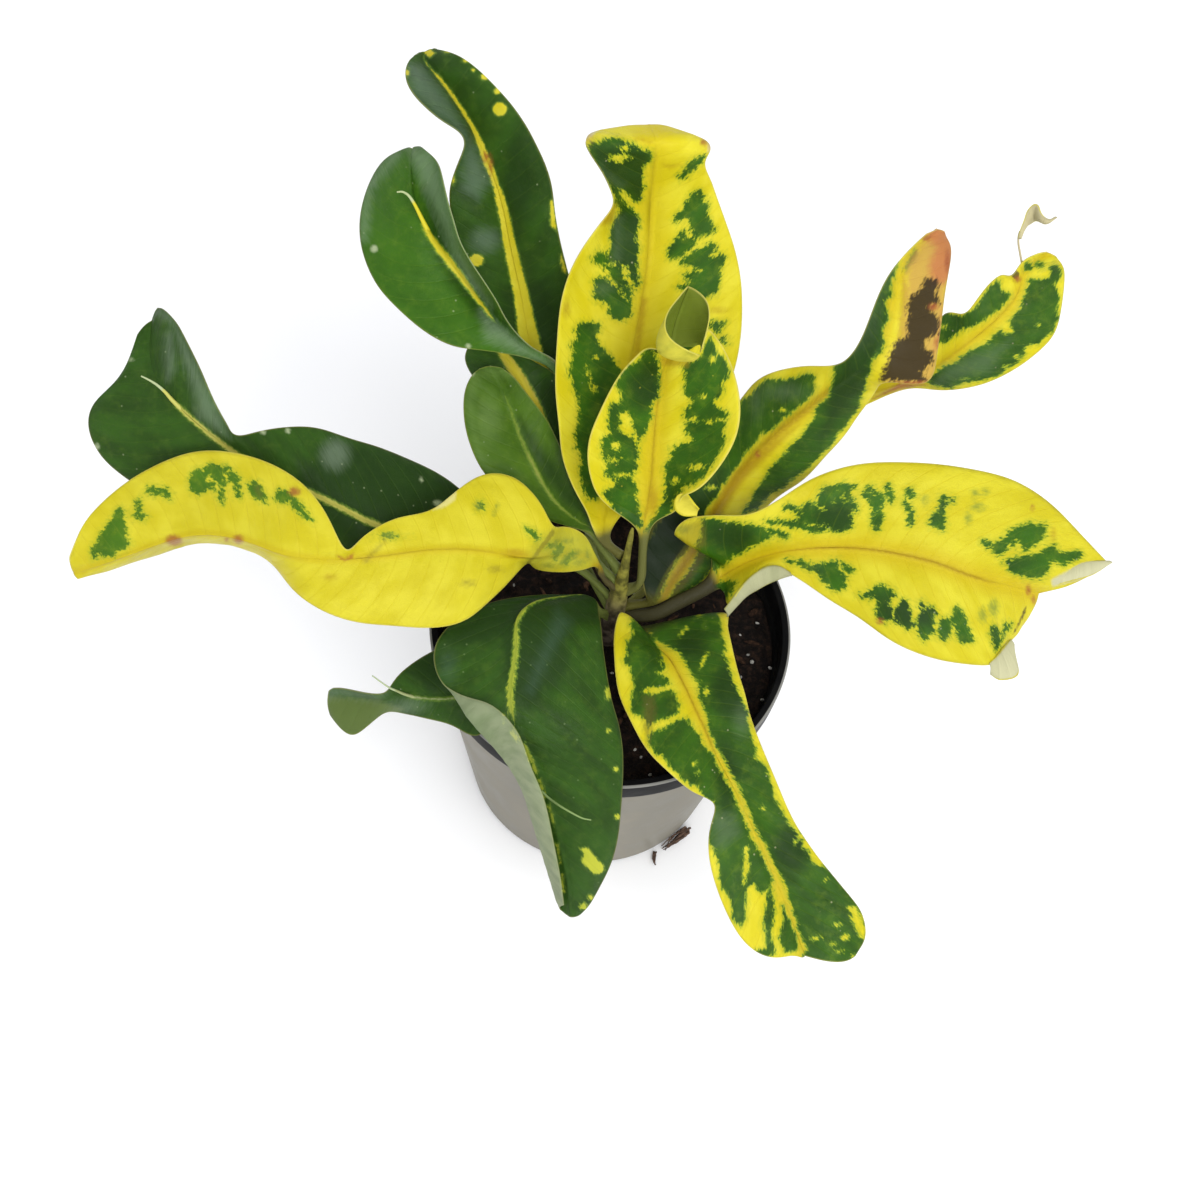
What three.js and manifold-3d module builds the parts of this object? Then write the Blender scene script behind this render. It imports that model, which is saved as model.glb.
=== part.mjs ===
// A potted croton: a nursery pot, its soil, a short woody stem and fourteen long, twisted leaves.
// Millimetres, +Z up. The origin is the centre of the pot's base, where the pot stands.

import * as THREE from "three";
import Module from "manifold-3d";
import { mergeVertices } from "three/addons/utils/BufferGeometryUtils.js";

const wasm = await Module();
wasm.setup();

// ---- Driving dimensions, in mm ----
const POT_HEIGHT = 100;
const RIM_RADIUS = 60;
const BASE_RADIUS = 46;
const RIM_BAND_HEIGHT = 9;
const RIM_STEP = 2.2; // how far the rim band stands out from the wall
const WALL = 1.4;
const BASE_BEVEL = 1.6;
const LIP = 0.7; // bevel along the edges of the rim band
const SHOULDER = 2; // height over which the inside widens into the rim
const FLOOR_THICKNESS = 2.4;
const POT_SEGMENTS = 48;

const DRAIN_HOLES = 8;
const DRAIN_HOLE_RADIUS = 4;
const DRAIN_CIRCLE_RADIUS = 34;
const DRAIN_HOLE_SEGMENTS = 12;

const SOIL_TOP = 88;
const SOIL_CROWN = 1.5; // the soil stands this much higher round the stem
const SOIL_SHOULDER = 0.6; // where half of the crown is reached, as a part of the soil's radius
const GAP = 0.3; // between pieces that touch

const STEM_BOTTOM = 72;
const STEM_TOP = 140;
const STEM_RADIUS_BOTTOM = 4.6;
const STEM_RADIUS_TOP = 2.8;
const STEM_LEAN = [2, 7]; // how far the top stands from the bottom, along X and Y
const STEM_SIDES = 12;
const STEM_STEPS = 10;

const BLADE_THICKNESS = 0.9;
const RIB_THICKNESS = 1.7;
const STALK_RADIUS = 1.4;
const STALK_EDGE = 0.3; // half of the stalk's thickness at its sides
const CAMBER = 0.05; // bulge of a half blade, as a part of its width
const LEAF_STATIONS = 19;
const HALF_BLADE_STEPS = 3;
const FLATTEN_BEFORE = 0.02; // the stalk flattens into the blade from this part of the leaf's length
const FLATTEN_AFTER = 0.06; // before the blade's base to this part after it
const HORN_RADII = [0.9, 0.45];
const ROOT_SCRAP_RADII = [1.4, 1.1];
const ROOT_TIP_RADII = [0.9, 0.6];
const TWIG_SIDES = 6;
const TWIG_STEPS = 6;

// ---- The view that the leaves were measured in ----
// A pinhole view of the plant: a leaf point is [x, y, height], its place in that view in pixels
// and its height above the surface in mm, which together fix one point in space.
const VIEW_CENTRE = 600;
const VIEW_FOCAL = 1500;
const VIEW_EYE = new THREE.Vector3(-4.7, -253.5, 527.6);
const VIEW_ELEVATION = THREE.MathUtils.degToRad(58.6);
const VIEW_ROLL = THREE.MathUtils.degToRad(8.1);

const VIEW_FORWARD = new THREE.Vector3(0, Math.cos(VIEW_ELEVATION), -Math.sin(VIEW_ELEVATION));
const LEVEL_RIGHT = new THREE.Vector3(1, 0, 0);
const LEVEL_UP = new THREE.Vector3(0, Math.sin(VIEW_ELEVATION), Math.cos(VIEW_ELEVATION));
const VIEW_RIGHT = LEVEL_RIGHT.clone().multiplyScalar(Math.cos(VIEW_ROLL))
  .addScaledVector(LEVEL_UP, Math.sin(VIEW_ROLL));
const VIEW_UP = LEVEL_UP.clone().multiplyScalar(Math.cos(VIEW_ROLL))
  .addScaledVector(LEVEL_RIGHT, -Math.sin(VIEW_ROLL));

function at([x, y, height]) {
  const ray = VIEW_FORWARD.clone().multiplyScalar(VIEW_FOCAL)
    .addScaledVector(VIEW_RIGHT, x - VIEW_CENTRE)
    .addScaledVector(VIEW_UP, VIEW_CENTRE - y);
  return VIEW_EYE.clone().addScaledVector(ray, (height - VIEW_EYE.z) / ray.z);
}

// Dried root ends that lie at the foot of the pot, in the same kind of points.
const ROOT_SCRAP = [[690, 830, 2.4], [677, 839, 2.6], [664, 848, 2]];
const ROOT_TIP = [[655, 853, 1.4], [654, 858, 1.2], [655, 864, 1]];

// ---- The leaves ----
// node is the height on the stem where the leaf grows. Every rail runs from the base of the blade
// to its tip: the two margins, the midrib and, where a half blade is folded, its fold.
// Left and right are as seen along the leaf from its base, with its upper side in view.
const LEAVES = {
  leaf_tall_yellow: {
    color: 0xd8cf1f, node: 131,
    stalk: [[606, 543, 131]],
    left: [[594, 531, 133], [584, 507, 139], [569, 477, 147], [560, 442, 157], [556, 397, 168],
      [556, 340, 183], [562, 296, 194], [577, 256, 205], [597, 225, 213], [616, 205, 219],
      [609, 183, 227], [597, 165, 233], [586, 146, 239], [588, 134, 238], [600, 130, 236]],
    leftFold: [[600, 530, 132], [597, 504, 136], [591, 475, 144], [588, 440, 154], [588, 395, 165],
      [590, 342, 179], [598, 300, 189], [610, 262, 199], [622, 228, 207], [632, 205, 213],
      [629, 184, 222], [625, 166, 229], [618, 150, 236], [618, 137, 238], [622, 129, 236]],
    rib: [[605, 529, 132], [611, 500, 137], [617, 470, 146], [622, 430, 157], [627, 385, 168],
      [635, 340, 180], [643, 300, 190], [648, 260, 200], [650, 230, 207], [651, 205, 214],
      [652, 184, 221], [654, 166, 228], [656, 150, 234], [655, 138, 237], [650, 127, 235]],
    right: [[614, 524, 133], [636, 500, 140], [664, 470, 149], [700, 430, 159], [728, 388, 171],
      [741, 340, 184], [742, 294, 195], [737, 256, 204], [728, 228, 211], [718, 200, 217],
      [711, 180, 223], [704, 163, 229], [711, 150, 232], [707, 141, 233], [695, 136, 233]],
  },
  leaf_front_centre: {
    color: 0xc9c52a, node: 117,
    stalk: [[640, 584, 121.5], [642, 566, 127], [643, 545, 134]],
    left: [[637, 528, 139], [611, 509, 144], [597, 494, 151], [588, 468, 159], [588, 440, 167],
      [599, 412, 175], [617, 377, 186], [635, 357, 194], [652, 346, 201], [664, 354, 208],
      [683, 360, 213]],
    leftFold: [[640, 527, 139], [628, 508, 144], [620, 492, 149], [617, 468, 157], [618, 440, 165],
      [626, 412, 173], [638, 380, 183], [650, 362, 191], [657, 352, 196], [659, 340, 205],
      [664, 326, 211]],
    rib: [[643, 526, 139], [647, 508, 144], [650, 490, 149], [652, 466, 156], [654, 438, 164],
      [657, 408, 173], [660, 384, 181], [663, 368, 187], [668, 356, 192], [674, 322, 203],
      [685, 294, 210]],
    rightFold: [[648, 524, 140], [660, 508, 145], [670, 492, 150], [680, 468, 158], [694, 438, 168],
      [698, 408, 178], [694, 378, 187], [688, 360, 193], [684, 352, 196], [700, 332, 205],
      [704, 322, 211]],
    right: [[654, 522, 141], [676, 512, 147], [681, 497, 154], [703, 487, 161], [734, 445, 173],
      [741, 403, 184], [731, 362, 193], [715, 335, 199], [706, 330, 203], [704, 350, 208],
      [689, 360, 213]],
  },
  leaf_back_left_tall: {
    color: 0x2f4a24, node: 114,
    stalk: [[601, 560, 119], [593, 530, 121]],
    left: [[577, 500, 125], [548, 450, 134], [523, 400, 147], [500, 350, 163], [480, 300, 180],
      [462, 250, 195], [450, 210, 205], [450, 186, 211], [458, 164, 216], [465, 144, 221],
      [459, 131, 226], [440, 119, 230], [421, 103, 233], [409, 88, 235], [405, 73, 236],
      [409, 60, 236], [418, 54, 235]],
    rib: [[582, 498, 125], [566, 450, 134], [547, 400, 146], [531, 350, 162], [522, 300, 177],
      [511, 250, 192], [504, 212, 202], [496, 184, 208], [487, 162, 213], [477, 138, 218],
      [470, 124, 221], [460, 108, 225], [448, 90, 228], [438, 77, 231], [430, 69, 232],
      [424, 61, 233], [425, 53, 233]],
    right: [[588, 495, 126], [586, 445, 136], [584, 395, 149], [580, 340, 165], [573, 290, 182],
      [562, 250, 197], [555, 214, 207], [552, 186, 213], [545, 163, 218], [534, 140, 223],
      [525, 124, 227], [512, 105, 231], [496, 87, 234], [480, 71, 236], [463, 58, 237],
      [447, 51, 236], [434, 49, 235]],
  },
  leaf_back_left_broad: {
    color: 0x3c6a2a, node: 120,
    stalk: [[594, 560, 123.6], [588, 520, 128.4], [583, 470, 138.6], [576, 412, 153]],
    left: [[556, 372, 166], [530, 359, 174], [503, 353, 180], [478, 350, 184], [452, 346, 187],
      [425, 332, 189], [398, 309, 191], [376, 284, 193], [362, 250, 196], [359, 218, 200],
      [366, 188, 204], [380, 164, 207], [397, 152, 209], [408, 148, 210]],
    rib: [[557, 367, 168], [532, 354, 176], [514, 341, 181], [497, 325, 186], [481, 305, 190],
      [466, 284, 194], [452, 265, 198], [439, 248, 202], [428, 231, 206], [419, 213, 209],
      [413, 199, 210], [411, 182, 211], [411, 165, 211], [413, 150, 211]],
    rightFold: [[558, 365, 168], [534, 352, 177], [518, 339, 182], [503, 323, 187], [489, 302, 191],
      [475, 281, 195], [461, 259, 200], [450, 241, 203], [439, 222, 206], [432, 203, 209],
      [425, 186, 211], [418, 170, 212], [414, 157, 212], [414, 148, 212]],
    right: [[558, 363, 169], [535, 350, 178], [520, 337, 184], [506, 320, 190], [494, 300, 196],
      [482, 279, 201], [468, 257, 206], [458, 238, 211], [452, 218, 216], [448, 200, 219],
      [444, 182, 220], [437, 163, 219], [427, 151, 216], [420, 147, 213]],
    horn: [[414, 200, 210.5], [411, 196, 213], [405, 191, 215], [398, 192, 216]],
  },
  leaf_behind_left: {
    color: 0x2c4a1c, node: 104,
    stalk: [[588, 570, 112], [574, 532, 119]],
    left: [[562, 505, 128], [535, 470, 138], [508, 430, 147], [487, 395, 154], [473, 378, 158],
      [464, 358, 162], [472, 342, 165]],
    rib: [[566, 498, 130], [552, 450, 145], [541, 420, 152], [530, 398, 157], [519, 378, 161],
      [507, 358, 164], [498, 346, 166]],
    right: [[570, 496, 131], [564, 440, 146], [561, 400, 154], [560, 382, 158], [552, 371, 162],
      [535, 362, 165], [512, 350, 166]],
  },
  leaf_mid_left: {
    color: 0x44702a, node: 124,
    stalk: [[600, 545, 128]],
    left: [[588, 532, 131], [545, 520, 138], [512, 500, 145], [485, 475, 151], [471, 448, 156],
      [464, 420, 160], [464, 393, 163], [472, 375, 166], [480, 369, 167]],
    rib: [[590, 530, 130], [568, 515, 136], [550, 497, 142], [535, 470, 149], [523, 445, 153],
      [514, 420, 157], [507, 400, 161], [500, 382, 164], [490, 367, 167]],
    right: [[592, 527, 130], [586, 505, 135], [576, 478, 141], [562, 450, 149], [550, 425, 156],
      [540, 410, 160], [525, 391, 164], [514, 377, 167], [502, 368, 168]],
  },
  leaf_far_left_dark: {
    color: 0x2b4a22, node: 110,
    stalk: [[582, 570, 117], [545, 556, 123]],
    left: [[500, 556, 128], [470, 566, 131], [440, 574, 134], [410, 576, 136], [380, 572, 138],
      [350, 562, 140], [315, 553, 141], [275, 548, 141], [235, 540, 141], [195, 522, 142],
      [160, 500, 144], [130, 481, 147], [102, 459, 151], [88, 430, 155], [94, 402, 160],
      [122, 377, 164], [137, 335, 168]],
    rib: [[500, 548, 129], [470, 542, 135], [440, 533, 140], [410, 530, 144], [380, 527, 148],
      [350, 512, 151], [322, 498, 153], [292, 484, 155], [265, 468, 156], [240, 455, 157],
      [220, 441, 159], [197, 423, 162], [176, 404, 164], [163, 391, 165], [154, 372, 166],
      [150, 350, 167], [152, 322, 168]],
    right: [[500, 540, 130], [478, 508, 138], [457, 486, 143], [420, 465, 149], [385, 450, 154],
      [350, 438, 158], [318, 428, 161], [285, 427, 163], [255, 432, 163], [236, 436, 162],
      [226, 424, 166], [213, 396, 170], [200, 368, 173], [186, 340, 174], [176, 322, 173],
      [166, 311, 171], [158, 308, 170]],
    horn: [[165, 393, 164.5], [156, 384, 168], [149, 379, 170], [142, 376, 171]],
  },
  leaf_left_yellow: {
    color: 0xdcd42a, node: 118,
    stalk: [[602, 578, 123]],
    left: [[597, 566, 128], [583, 570, 131], [560, 573, 132], [535, 569, 133], [528, 562, 138],
      [510, 582, 141], [488, 603, 143], [462, 622, 144], [430, 628, 144], [395, 626, 145],
      [358, 623, 147], [325, 612, 149], [296, 592, 150], [272, 563, 147], [240, 546, 142],
      [208, 543, 138], [180, 546, 135], [150, 556, 132], [122, 568, 131], [97, 573, 131],
      [78, 579, 130]],
    rib: [[597, 563, 129], [580, 555, 135], [560, 552, 139], [540, 556, 143], [520, 556, 147],
      [498, 553, 150], [472, 550, 153], [445, 549, 155], [418, 551, 156], [390, 555, 157],
      [362, 558, 158], [338, 559, 159], [306, 558, 160], [276, 552, 160], [245, 540, 158],
      [210, 534, 155], [180, 537, 151], [150, 547, 146], [122, 557, 141], [96, 566, 136],
      [75, 572, 132]],
    right: [[597, 560, 130], [585, 535, 139], [566, 526, 144], [553, 527, 150], [540, 502, 155],
      [515, 477, 158], [485, 473, 160], [457, 491, 160], [430, 512, 160], [395, 518, 161],
      [364, 535, 161], [346, 553, 163], [330, 519, 168], [307, 487, 171], [275, 465, 170],
      [237, 453, 168], [197, 451, 165], [158, 464, 160], [118, 488, 154], [85, 520, 147],
      [71, 555, 140]],
  },
  leaf_low_left_dark: {
    color: 0x27401f, node: 98,
    stalk: [[580, 614, 103], [540, 636, 107]],
    left: [[500, 700, 106], [480, 738, 105], [452, 725, 105], [425, 718, 104], [405, 714, 102],
      [385, 711, 99], [367, 727, 95], [350, 736, 92], [331, 715, 94]],
    rib: [[500, 668, 109], [478, 690, 110], [450, 699, 110], [425, 698, 109], [402, 696, 108],
      [388, 699, 105], [370, 698, 102], [348, 696, 100], [330, 692, 100]],
    right: [[500, 640, 112], [468, 640, 114], [432, 651, 114], [407, 667, 113], [394, 681, 110],
      [385, 693, 106], [366, 693, 104], [344, 688, 103], [333, 688, 102]],
    horn: [[402, 696, 107.5], [390, 690, 112], [381, 683, 114], [373, 677, 115]],
  },
  leaf_front_left_dark: {
    color: 0x2f5a26, node: 105,
    stalk: [[598, 612, 112]],
    left: [[596, 602, 119], [600, 612, 124], [601, 628, 127], [603, 650, 126], [607, 676, 124],
      [612, 700, 121], [619, 722, 118], [623, 748, 114], [623, 780, 107], [621, 812, 99],
      [616, 845, 90], [607, 875, 81], [594, 898, 74], [580, 914, 70]],
    rib: [[586, 598, 120], [558, 598, 129], [530, 604, 134], [516, 622, 136], [516, 650, 134],
      [511, 680, 131], [510, 706, 128], [519, 736, 122], [535, 765, 115], [548, 797, 107],
      [556, 830, 98], [563, 860, 89], [568, 888, 80], [570, 915, 72]],
    rightFold: [[578, 597, 121], [542, 599, 129], [512, 612, 134], [490, 636, 135], [476, 662, 133],
      [476, 690, 131], [470, 718, 129], [494, 747, 123], [508, 765, 117], [522, 790, 109],
      [530, 815, 101], [541, 852, 89], [550, 880, 80], [560, 906, 74]],
    right: [[574, 595, 122], [524, 596, 131], [478, 606, 135], [446, 628, 137], [433, 652, 136],
      [440, 680, 134], [463, 696, 133], [492, 704, 134], [518, 732, 132], [530, 765, 126],
      [543, 797, 117], [552, 835, 106], [560, 872, 94], [564, 905, 82]],
    horn: [[548, 797, 106.5], [562, 808, 111], [576, 817, 110], [590, 821, 108]],
  },
  leaf_front_right: {
    color: 0x3a6a26, node: 101,
    stalk: [[634, 632, 106]],
    left: [[723, 611, 116], [727, 625, 119], [731, 642, 121], [737, 666, 122], [744, 692, 121],
      [750, 715, 119], [762, 748, 117], [777, 782, 114], [791, 817, 110], [806, 840, 106],
      [825, 865, 103], [847, 893, 99], [861, 915, 96], [864, 943, 92], [838, 965, 89]],
    rib: [[648, 642, 112], [658, 650, 115], [670, 660, 117], [682, 682, 118], [694, 707, 118],
      [707, 735, 117], [716, 757, 115], [729, 780, 113], [743, 807, 110], [755, 833, 106],
      [766, 858, 103], [776, 882, 99], [787, 908, 96], [795, 930, 93], [803, 951, 91]],
    right: [[621, 609, 116], [614, 632, 120], [614, 655, 121], [618, 692, 121], [631, 722, 120],
      [647, 751, 119], [667, 771, 118], [695, 794, 116], [716, 803, 111], [709, 830, 108],
      [709, 860, 104], [720, 898, 99], [740, 938, 94], [766, 957, 91], [795, 955, 90]],
  },
  leaf_right_yellow: {
    color: 0xd8d026, node: 105,
    stalk: [[652, 615, 110], [676, 603, 114.5], [706, 588, 119]],
    left: [[712, 563, 125], [704, 545, 131], [680, 541, 138], [684, 519, 143], [716, 515, 146],
      [748, 515, 149], [778, 500, 153], [812, 478, 157], [856, 464, 160], [905, 462, 161],
      [960, 467, 160], [1008, 478, 157], [1046, 499, 152], [1078, 532, 145], [1107, 562, 137]],
    rib: [[718, 580, 120], [726, 574, 123], [738, 567, 127], [750, 561, 130], [765, 556, 133],
      [785, 551, 136], [808, 548, 139], [838, 547, 141], [870, 549, 143], [905, 555, 144],
      [940, 564, 144], [970, 576, 142], [996, 583, 139], [1018, 588, 136], [1034, 592, 133]],
    right: [[722, 588, 120], [727, 600, 122], [730, 606, 125], [738, 592, 129], [752, 576, 133],
      [770, 565, 134], [796, 577, 133], [825, 597, 131], [858, 617, 130], [892, 642, 129],
      [930, 658, 128], [965, 664, 126], [990, 665, 124], [1000, 655, 123], [1014, 632, 124]],
  },
  leaf_upper_right: {
    color: 0x3d5a24, node: 109,
    stalk: [[650, 602, 113.5]],
    left: [[652, 590, 119], [652, 556, 124], [664, 528, 131], [688, 490, 141], [718, 440, 153],
      [742, 398, 163], [764, 375, 173], [800, 366, 183], [830, 366, 190], [846, 360, 195],
      [859, 343, 200], [868, 322, 205], [878, 296, 210], [890, 272, 215], [904, 256, 219],
      [920, 242, 222]],
    rib: [[660, 594, 117], [682, 567, 121], [703, 537, 128], [718, 505, 138], [738, 476, 147],
      [760, 450, 157], [784, 427, 166], [808, 408, 174], [832, 388, 183], [852, 374, 191],
      [872, 356, 198], [884, 330, 204], [891, 302, 210], [898, 278, 214], [908, 256, 218],
      [928, 237, 221]],
    right: [[668, 598, 115], [702, 586, 116], [735, 555, 120], [755, 520, 128], [776, 496, 138],
      [800, 482, 147], [823, 460, 156], [846, 434, 166], [862, 410, 175], [876, 392, 184],
      [885, 381, 193], [930, 385, 192], [938, 345, 199], [943, 300, 206], [950, 262, 213],
      [942, 234, 219]],
  },
  leaf_far_right: {
    color: 0x46762a, node: 102,
    stalk: [[690, 548, 109]],
    left: [[727, 489, 121], [760, 443, 130], [803, 409, 139], [842, 389, 146], [865, 383, 151],
      [884, 378, 157], [905, 368, 164], [925, 350, 172], [943, 312, 181], [963, 315, 186],
      [975, 302, 190], [987, 286, 194], [1001, 274, 197], [1012, 276, 198], [1022, 261, 201],
      [1038, 254, 203]],
    rib: [[735, 498, 118], [775, 460, 127], [815, 425, 137], [850, 400, 144], [870, 393, 149],
      [892, 386, 155], [912, 378, 161], [935, 367, 168], [955, 353, 175], [975, 337, 180],
      [993, 322, 185], [1008, 307, 189], [1017, 294, 192], [1021, 280, 195], [1026, 268, 198],
      [1044, 257, 201]],
    right: [[744, 507, 116], [790, 477, 125], [827, 441, 135], [858, 410, 143], [875, 401, 146],
      [892, 393, 151], [915, 387, 156], [948, 390, 161], [980, 386, 167], [1012, 371, 172],
      [1037, 353, 178], [1055, 333, 183], [1062, 305, 188], [1065, 280, 192], [1062, 265, 196],
      [1053, 256, 200]],
    horn: [[1024, 272, 196.7], [1021, 260, 201.3], [1018, 241, 206], [1022, 226, 210],
      [1032, 212, 213], [1044, 222, 214]],
  },
};

// ---- Solids from rings ----
// rings are closed outlines of equal count, point 0 to the last running along the upper side and
// back along the lower side. The skin over them is closed at both ends.
function skin(rings) {
  const count = rings[0].length;
  const positions = rings.flat().flatMap((point) => point.toArray());
  const faces = [];
  for (let r = 0; r < rings.length - 1; r += 1) {
    for (let k = 0; k < count; k += 1) {
      const a = r * count + k;
      const b = r * count + (k + 1) % count;
      faces.push(a, b, b + count, a, b + count, a + count);
    }
  }
  const last = (rings.length - 1) * count;
  for (let k = 0; k < count / 2 - 1; k += 1) {
    const low = count - 1 - k;
    faces.push(k, low, low - 1, k, low - 1, k + 1);
    faces.push(last + k, last + low - 1, last + low, last + k, last + k + 1, last + low - 1);
  }
  const geometry = new THREE.BufferGeometry();
  geometry.setAttribute("position", new THREE.Float32BufferAttribute(positions, 3));
  geometry.setIndex(faces);
  return geometry;
}

// A round, tapering rod through points, with the given number of sides.
function rod(points, [startRadius, endRadius], sides, steps) {
  const path = new THREE.CatmullRomCurve3(points);
  const frames = path.computeFrenetFrames(steps);
  const rings = [];
  for (let s = 0; s <= steps; s += 1) {
    const centre = path.getPointAt(s / steps);
    const radius = THREE.MathUtils.lerp(startRadius, endRadius, s / steps);
    const ring = [];
    for (let k = 0; k < sides; k += 1) {
      const angle = (2 * Math.PI * k) / sides;
      ring.push(centre.clone()
        .addScaledVector(frames.normals[s], radius * Math.cos(angle))
        .addScaledVector(frames.binormals[s], radius * Math.sin(angle)));
    }
    rings.push(ring);
  }
  return skin(rings);
}

// A thin rod through points of the view.
function twig(points, radii) {
  return rod(points.map(at), radii, TWIG_SIDES, TWIG_STEPS);
}

// A profile of [radius, height] pairs turned about Z.
function turned(profile) {
  const points = profile.map(([radius, height]) => new THREE.Vector2(radius, height));
  return new THREE.LatheGeometry(points, POT_SEGMENTS).rotateX(Math.PI / 2);
}

// ---- Cuts and joins ----
function toManifold(geometry) {
  const bare = geometry.clone();
  bare.deleteAttribute("normal");
  bare.deleteAttribute("uv");
  const merged = mergeVertices(bare, 1e-4);
  return new wasm.Manifold(new wasm.Mesh({
    numProp: 3,
    vertProperties: new Float32Array(merged.attributes.position.array),
    triVerts: new Uint32Array(merged.index.array),
  }));
}

function fromManifold(solid) {
  const mesh = solid.getMesh();
  const positions = new Float32Array(mesh.vertProperties);
  const geometry = new THREE.BufferGeometry();
  geometry.setAttribute("position", new THREE.BufferAttribute(positions, 3));
  geometry.setIndex(new THREE.BufferAttribute(new Uint32Array(mesh.triVerts), 1));
  return geometry;
}

// ---- The pot ----
const WALL_TOP = POT_HEIGHT - RIM_BAND_HEIGHT;
const RIM_INSIDE = RIM_RADIUS - WALL - 2 * LIP;

function wallRadius(height) {
  const slope = (RIM_RADIUS - RIM_STEP - BASE_RADIUS) / WALL_TOP;
  return BASE_RADIUS + slope * height;
}

function drainHole(index) {
  const angle = (2 * Math.PI * (index + 0.5)) / DRAIN_HOLES;
  const depth = 3 * FLOOR_THICKNESS;
  const radius = DRAIN_HOLE_RADIUS;
  const hole = new THREE.CylinderGeometry(radius, radius, depth, DRAIN_HOLE_SEGMENTS);
  hole.rotateX(Math.PI / 2);
  hole.translate(DRAIN_CIRCLE_RADIUS * Math.cos(angle), DRAIN_CIRCLE_RADIUS * Math.sin(angle), 0);
  return hole;
}

function potGeometry() {
  const shoulder = WALL_TOP - SHOULDER;
  const cornerHeight = FLOOR_THICKNESS + BASE_BEVEL;
  const shell = turned([
    [0, 0], [BASE_RADIUS - BASE_BEVEL, 0],
    [wallRadius(BASE_BEVEL), BASE_BEVEL], [wallRadius(WALL_TOP - LIP), WALL_TOP - LIP],
    [RIM_RADIUS - LIP, WALL_TOP], [RIM_RADIUS, WALL_TOP + LIP],
    [RIM_RADIUS, POT_HEIGHT - LIP], [RIM_RADIUS - LIP, POT_HEIGHT],
    [RIM_INSIDE + LIP, POT_HEIGHT], [RIM_INSIDE, POT_HEIGHT - LIP],
    [RIM_INSIDE, WALL_TOP + LIP], [wallRadius(shoulder) - WALL, shoulder],
    [wallRadius(cornerHeight) - WALL, cornerHeight],
    [BASE_RADIUS - WALL - BASE_BEVEL, FLOOR_THICKNESS], [0, FLOOR_THICKNESS],
  ]);
  let solid = toManifold(shell);
  for (let index = 0; index < DRAIN_HOLES; index += 1) {
    solid = solid.subtract(toManifold(drainHole(index)));
  }
  return fromManifold(solid);
}

// ---- The soil, with a well that the stem stands in ----
function soilGeometry() {
  const side = (height) => wallRadius(height) - WALL - GAP;
  const well = STEM_RADIUS_BOTTOM + 2 * GAP;
  const bottom = FLOOR_THICKNESS + GAP;
  const cornerHeight = bottom + BASE_BEVEL;
  return turned([
    [0, bottom], [BASE_RADIUS - WALL - BASE_BEVEL - GAP, bottom],
    [side(cornerHeight), cornerHeight], [side(SOIL_TOP), SOIL_TOP],
    [SOIL_SHOULDER * side(SOIL_TOP), SOIL_TOP + SOIL_CROWN / 2],
    [well, SOIL_TOP + SOIL_CROWN], [well, STEM_BOTTOM - GAP], [0, STEM_BOTTOM - GAP],
  ]);
}

// ---- The stem: upright in the soil, leaning a little above it ----
function stemCentre(height) {
  const rise = Math.max(0, (height - SOIL_TOP) / (STEM_TOP - SOIL_TOP));
  return new THREE.Vector3(STEM_LEAN[0] * rise, STEM_LEAN[1] * rise * rise, height);
}

function stemRadius(height) {
  const part = (height - STEM_BOTTOM) / (STEM_TOP - STEM_BOTTOM);
  return THREE.MathUtils.lerp(STEM_RADIUS_BOTTOM, STEM_RADIUS_TOP, part);
}

function stemGeometry() {
  const above = (part) => THREE.MathUtils.lerp(SOIL_TOP, STEM_TOP, part);
  const heights = [STEM_BOTTOM, SOIL_TOP, above(0.25), above(0.5), above(0.75), STEM_TOP];
  return rod(heights.map(stemCentre), [STEM_RADIUS_BOTTOM, STEM_RADIUS_TOP], STEM_SIDES, STEM_STEPS);
}

// ---- A leaf ----
// The stalk's centre points: from the stem's bark, through the stalk's own points.
function stalkPoints(leaf) {
  const next = at(leaf.stalk[0]);
  const root = stemCentre(leaf.node);
  const outward = new THREE.Vector3(next.x - root.x, next.y - root.y, 0).normalize();
  const start = root.addScaledVector(outward, stemRadius(leaf.node) + STALK_RADIUS + GAP);
  return [start, ...leaf.stalk.map(at)];
}

// The leaf's rails, each a smooth line from the foot of the stalk to the tip of the blade.
function leafRails(leaf, stalk) {
  const across = at(leaf.right[0]).sub(at(leaf.left[0])).normalize();
  const rail = (points, side) => {
    if (!points) {
      return null;
    }
    const foot = stalk.map((point) => point.clone().addScaledVector(across, side * STALK_RADIUS));
    return new THREE.CatmullRomCurve3([...foot, ...points.map(at)], false, "catmullrom", 0.5);
  };
  return {
    left: rail(leaf.left, -1),
    leftFold: rail(leaf.leftFold, -0.5),
    rib: rail(leaf.rib, 0),
    rightFold: rail(leaf.rightFold, 0.5),
    right: rail(leaf.right, 1),
  };
}

// A point of a half blade between its rib (v = 0) and its margin (v = 1), over its fold if it has one.
function halfBlade(rib, fold, margin, v, bulge) {
  if (fold) {
    return rib.clone().multiplyScalar((1 - v) * (1 - 2 * v))
      .addScaledVector(fold, 4 * v * (1 - v))
      .addScaledVector(margin, v * (2 * v - 1));
  }
  const rise = 4 * v * (1 - v) * CAMBER * rib.distanceTo(margin);
  return rib.clone().lerp(margin, v).addScaledVector(bulge, rise);
}

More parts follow.
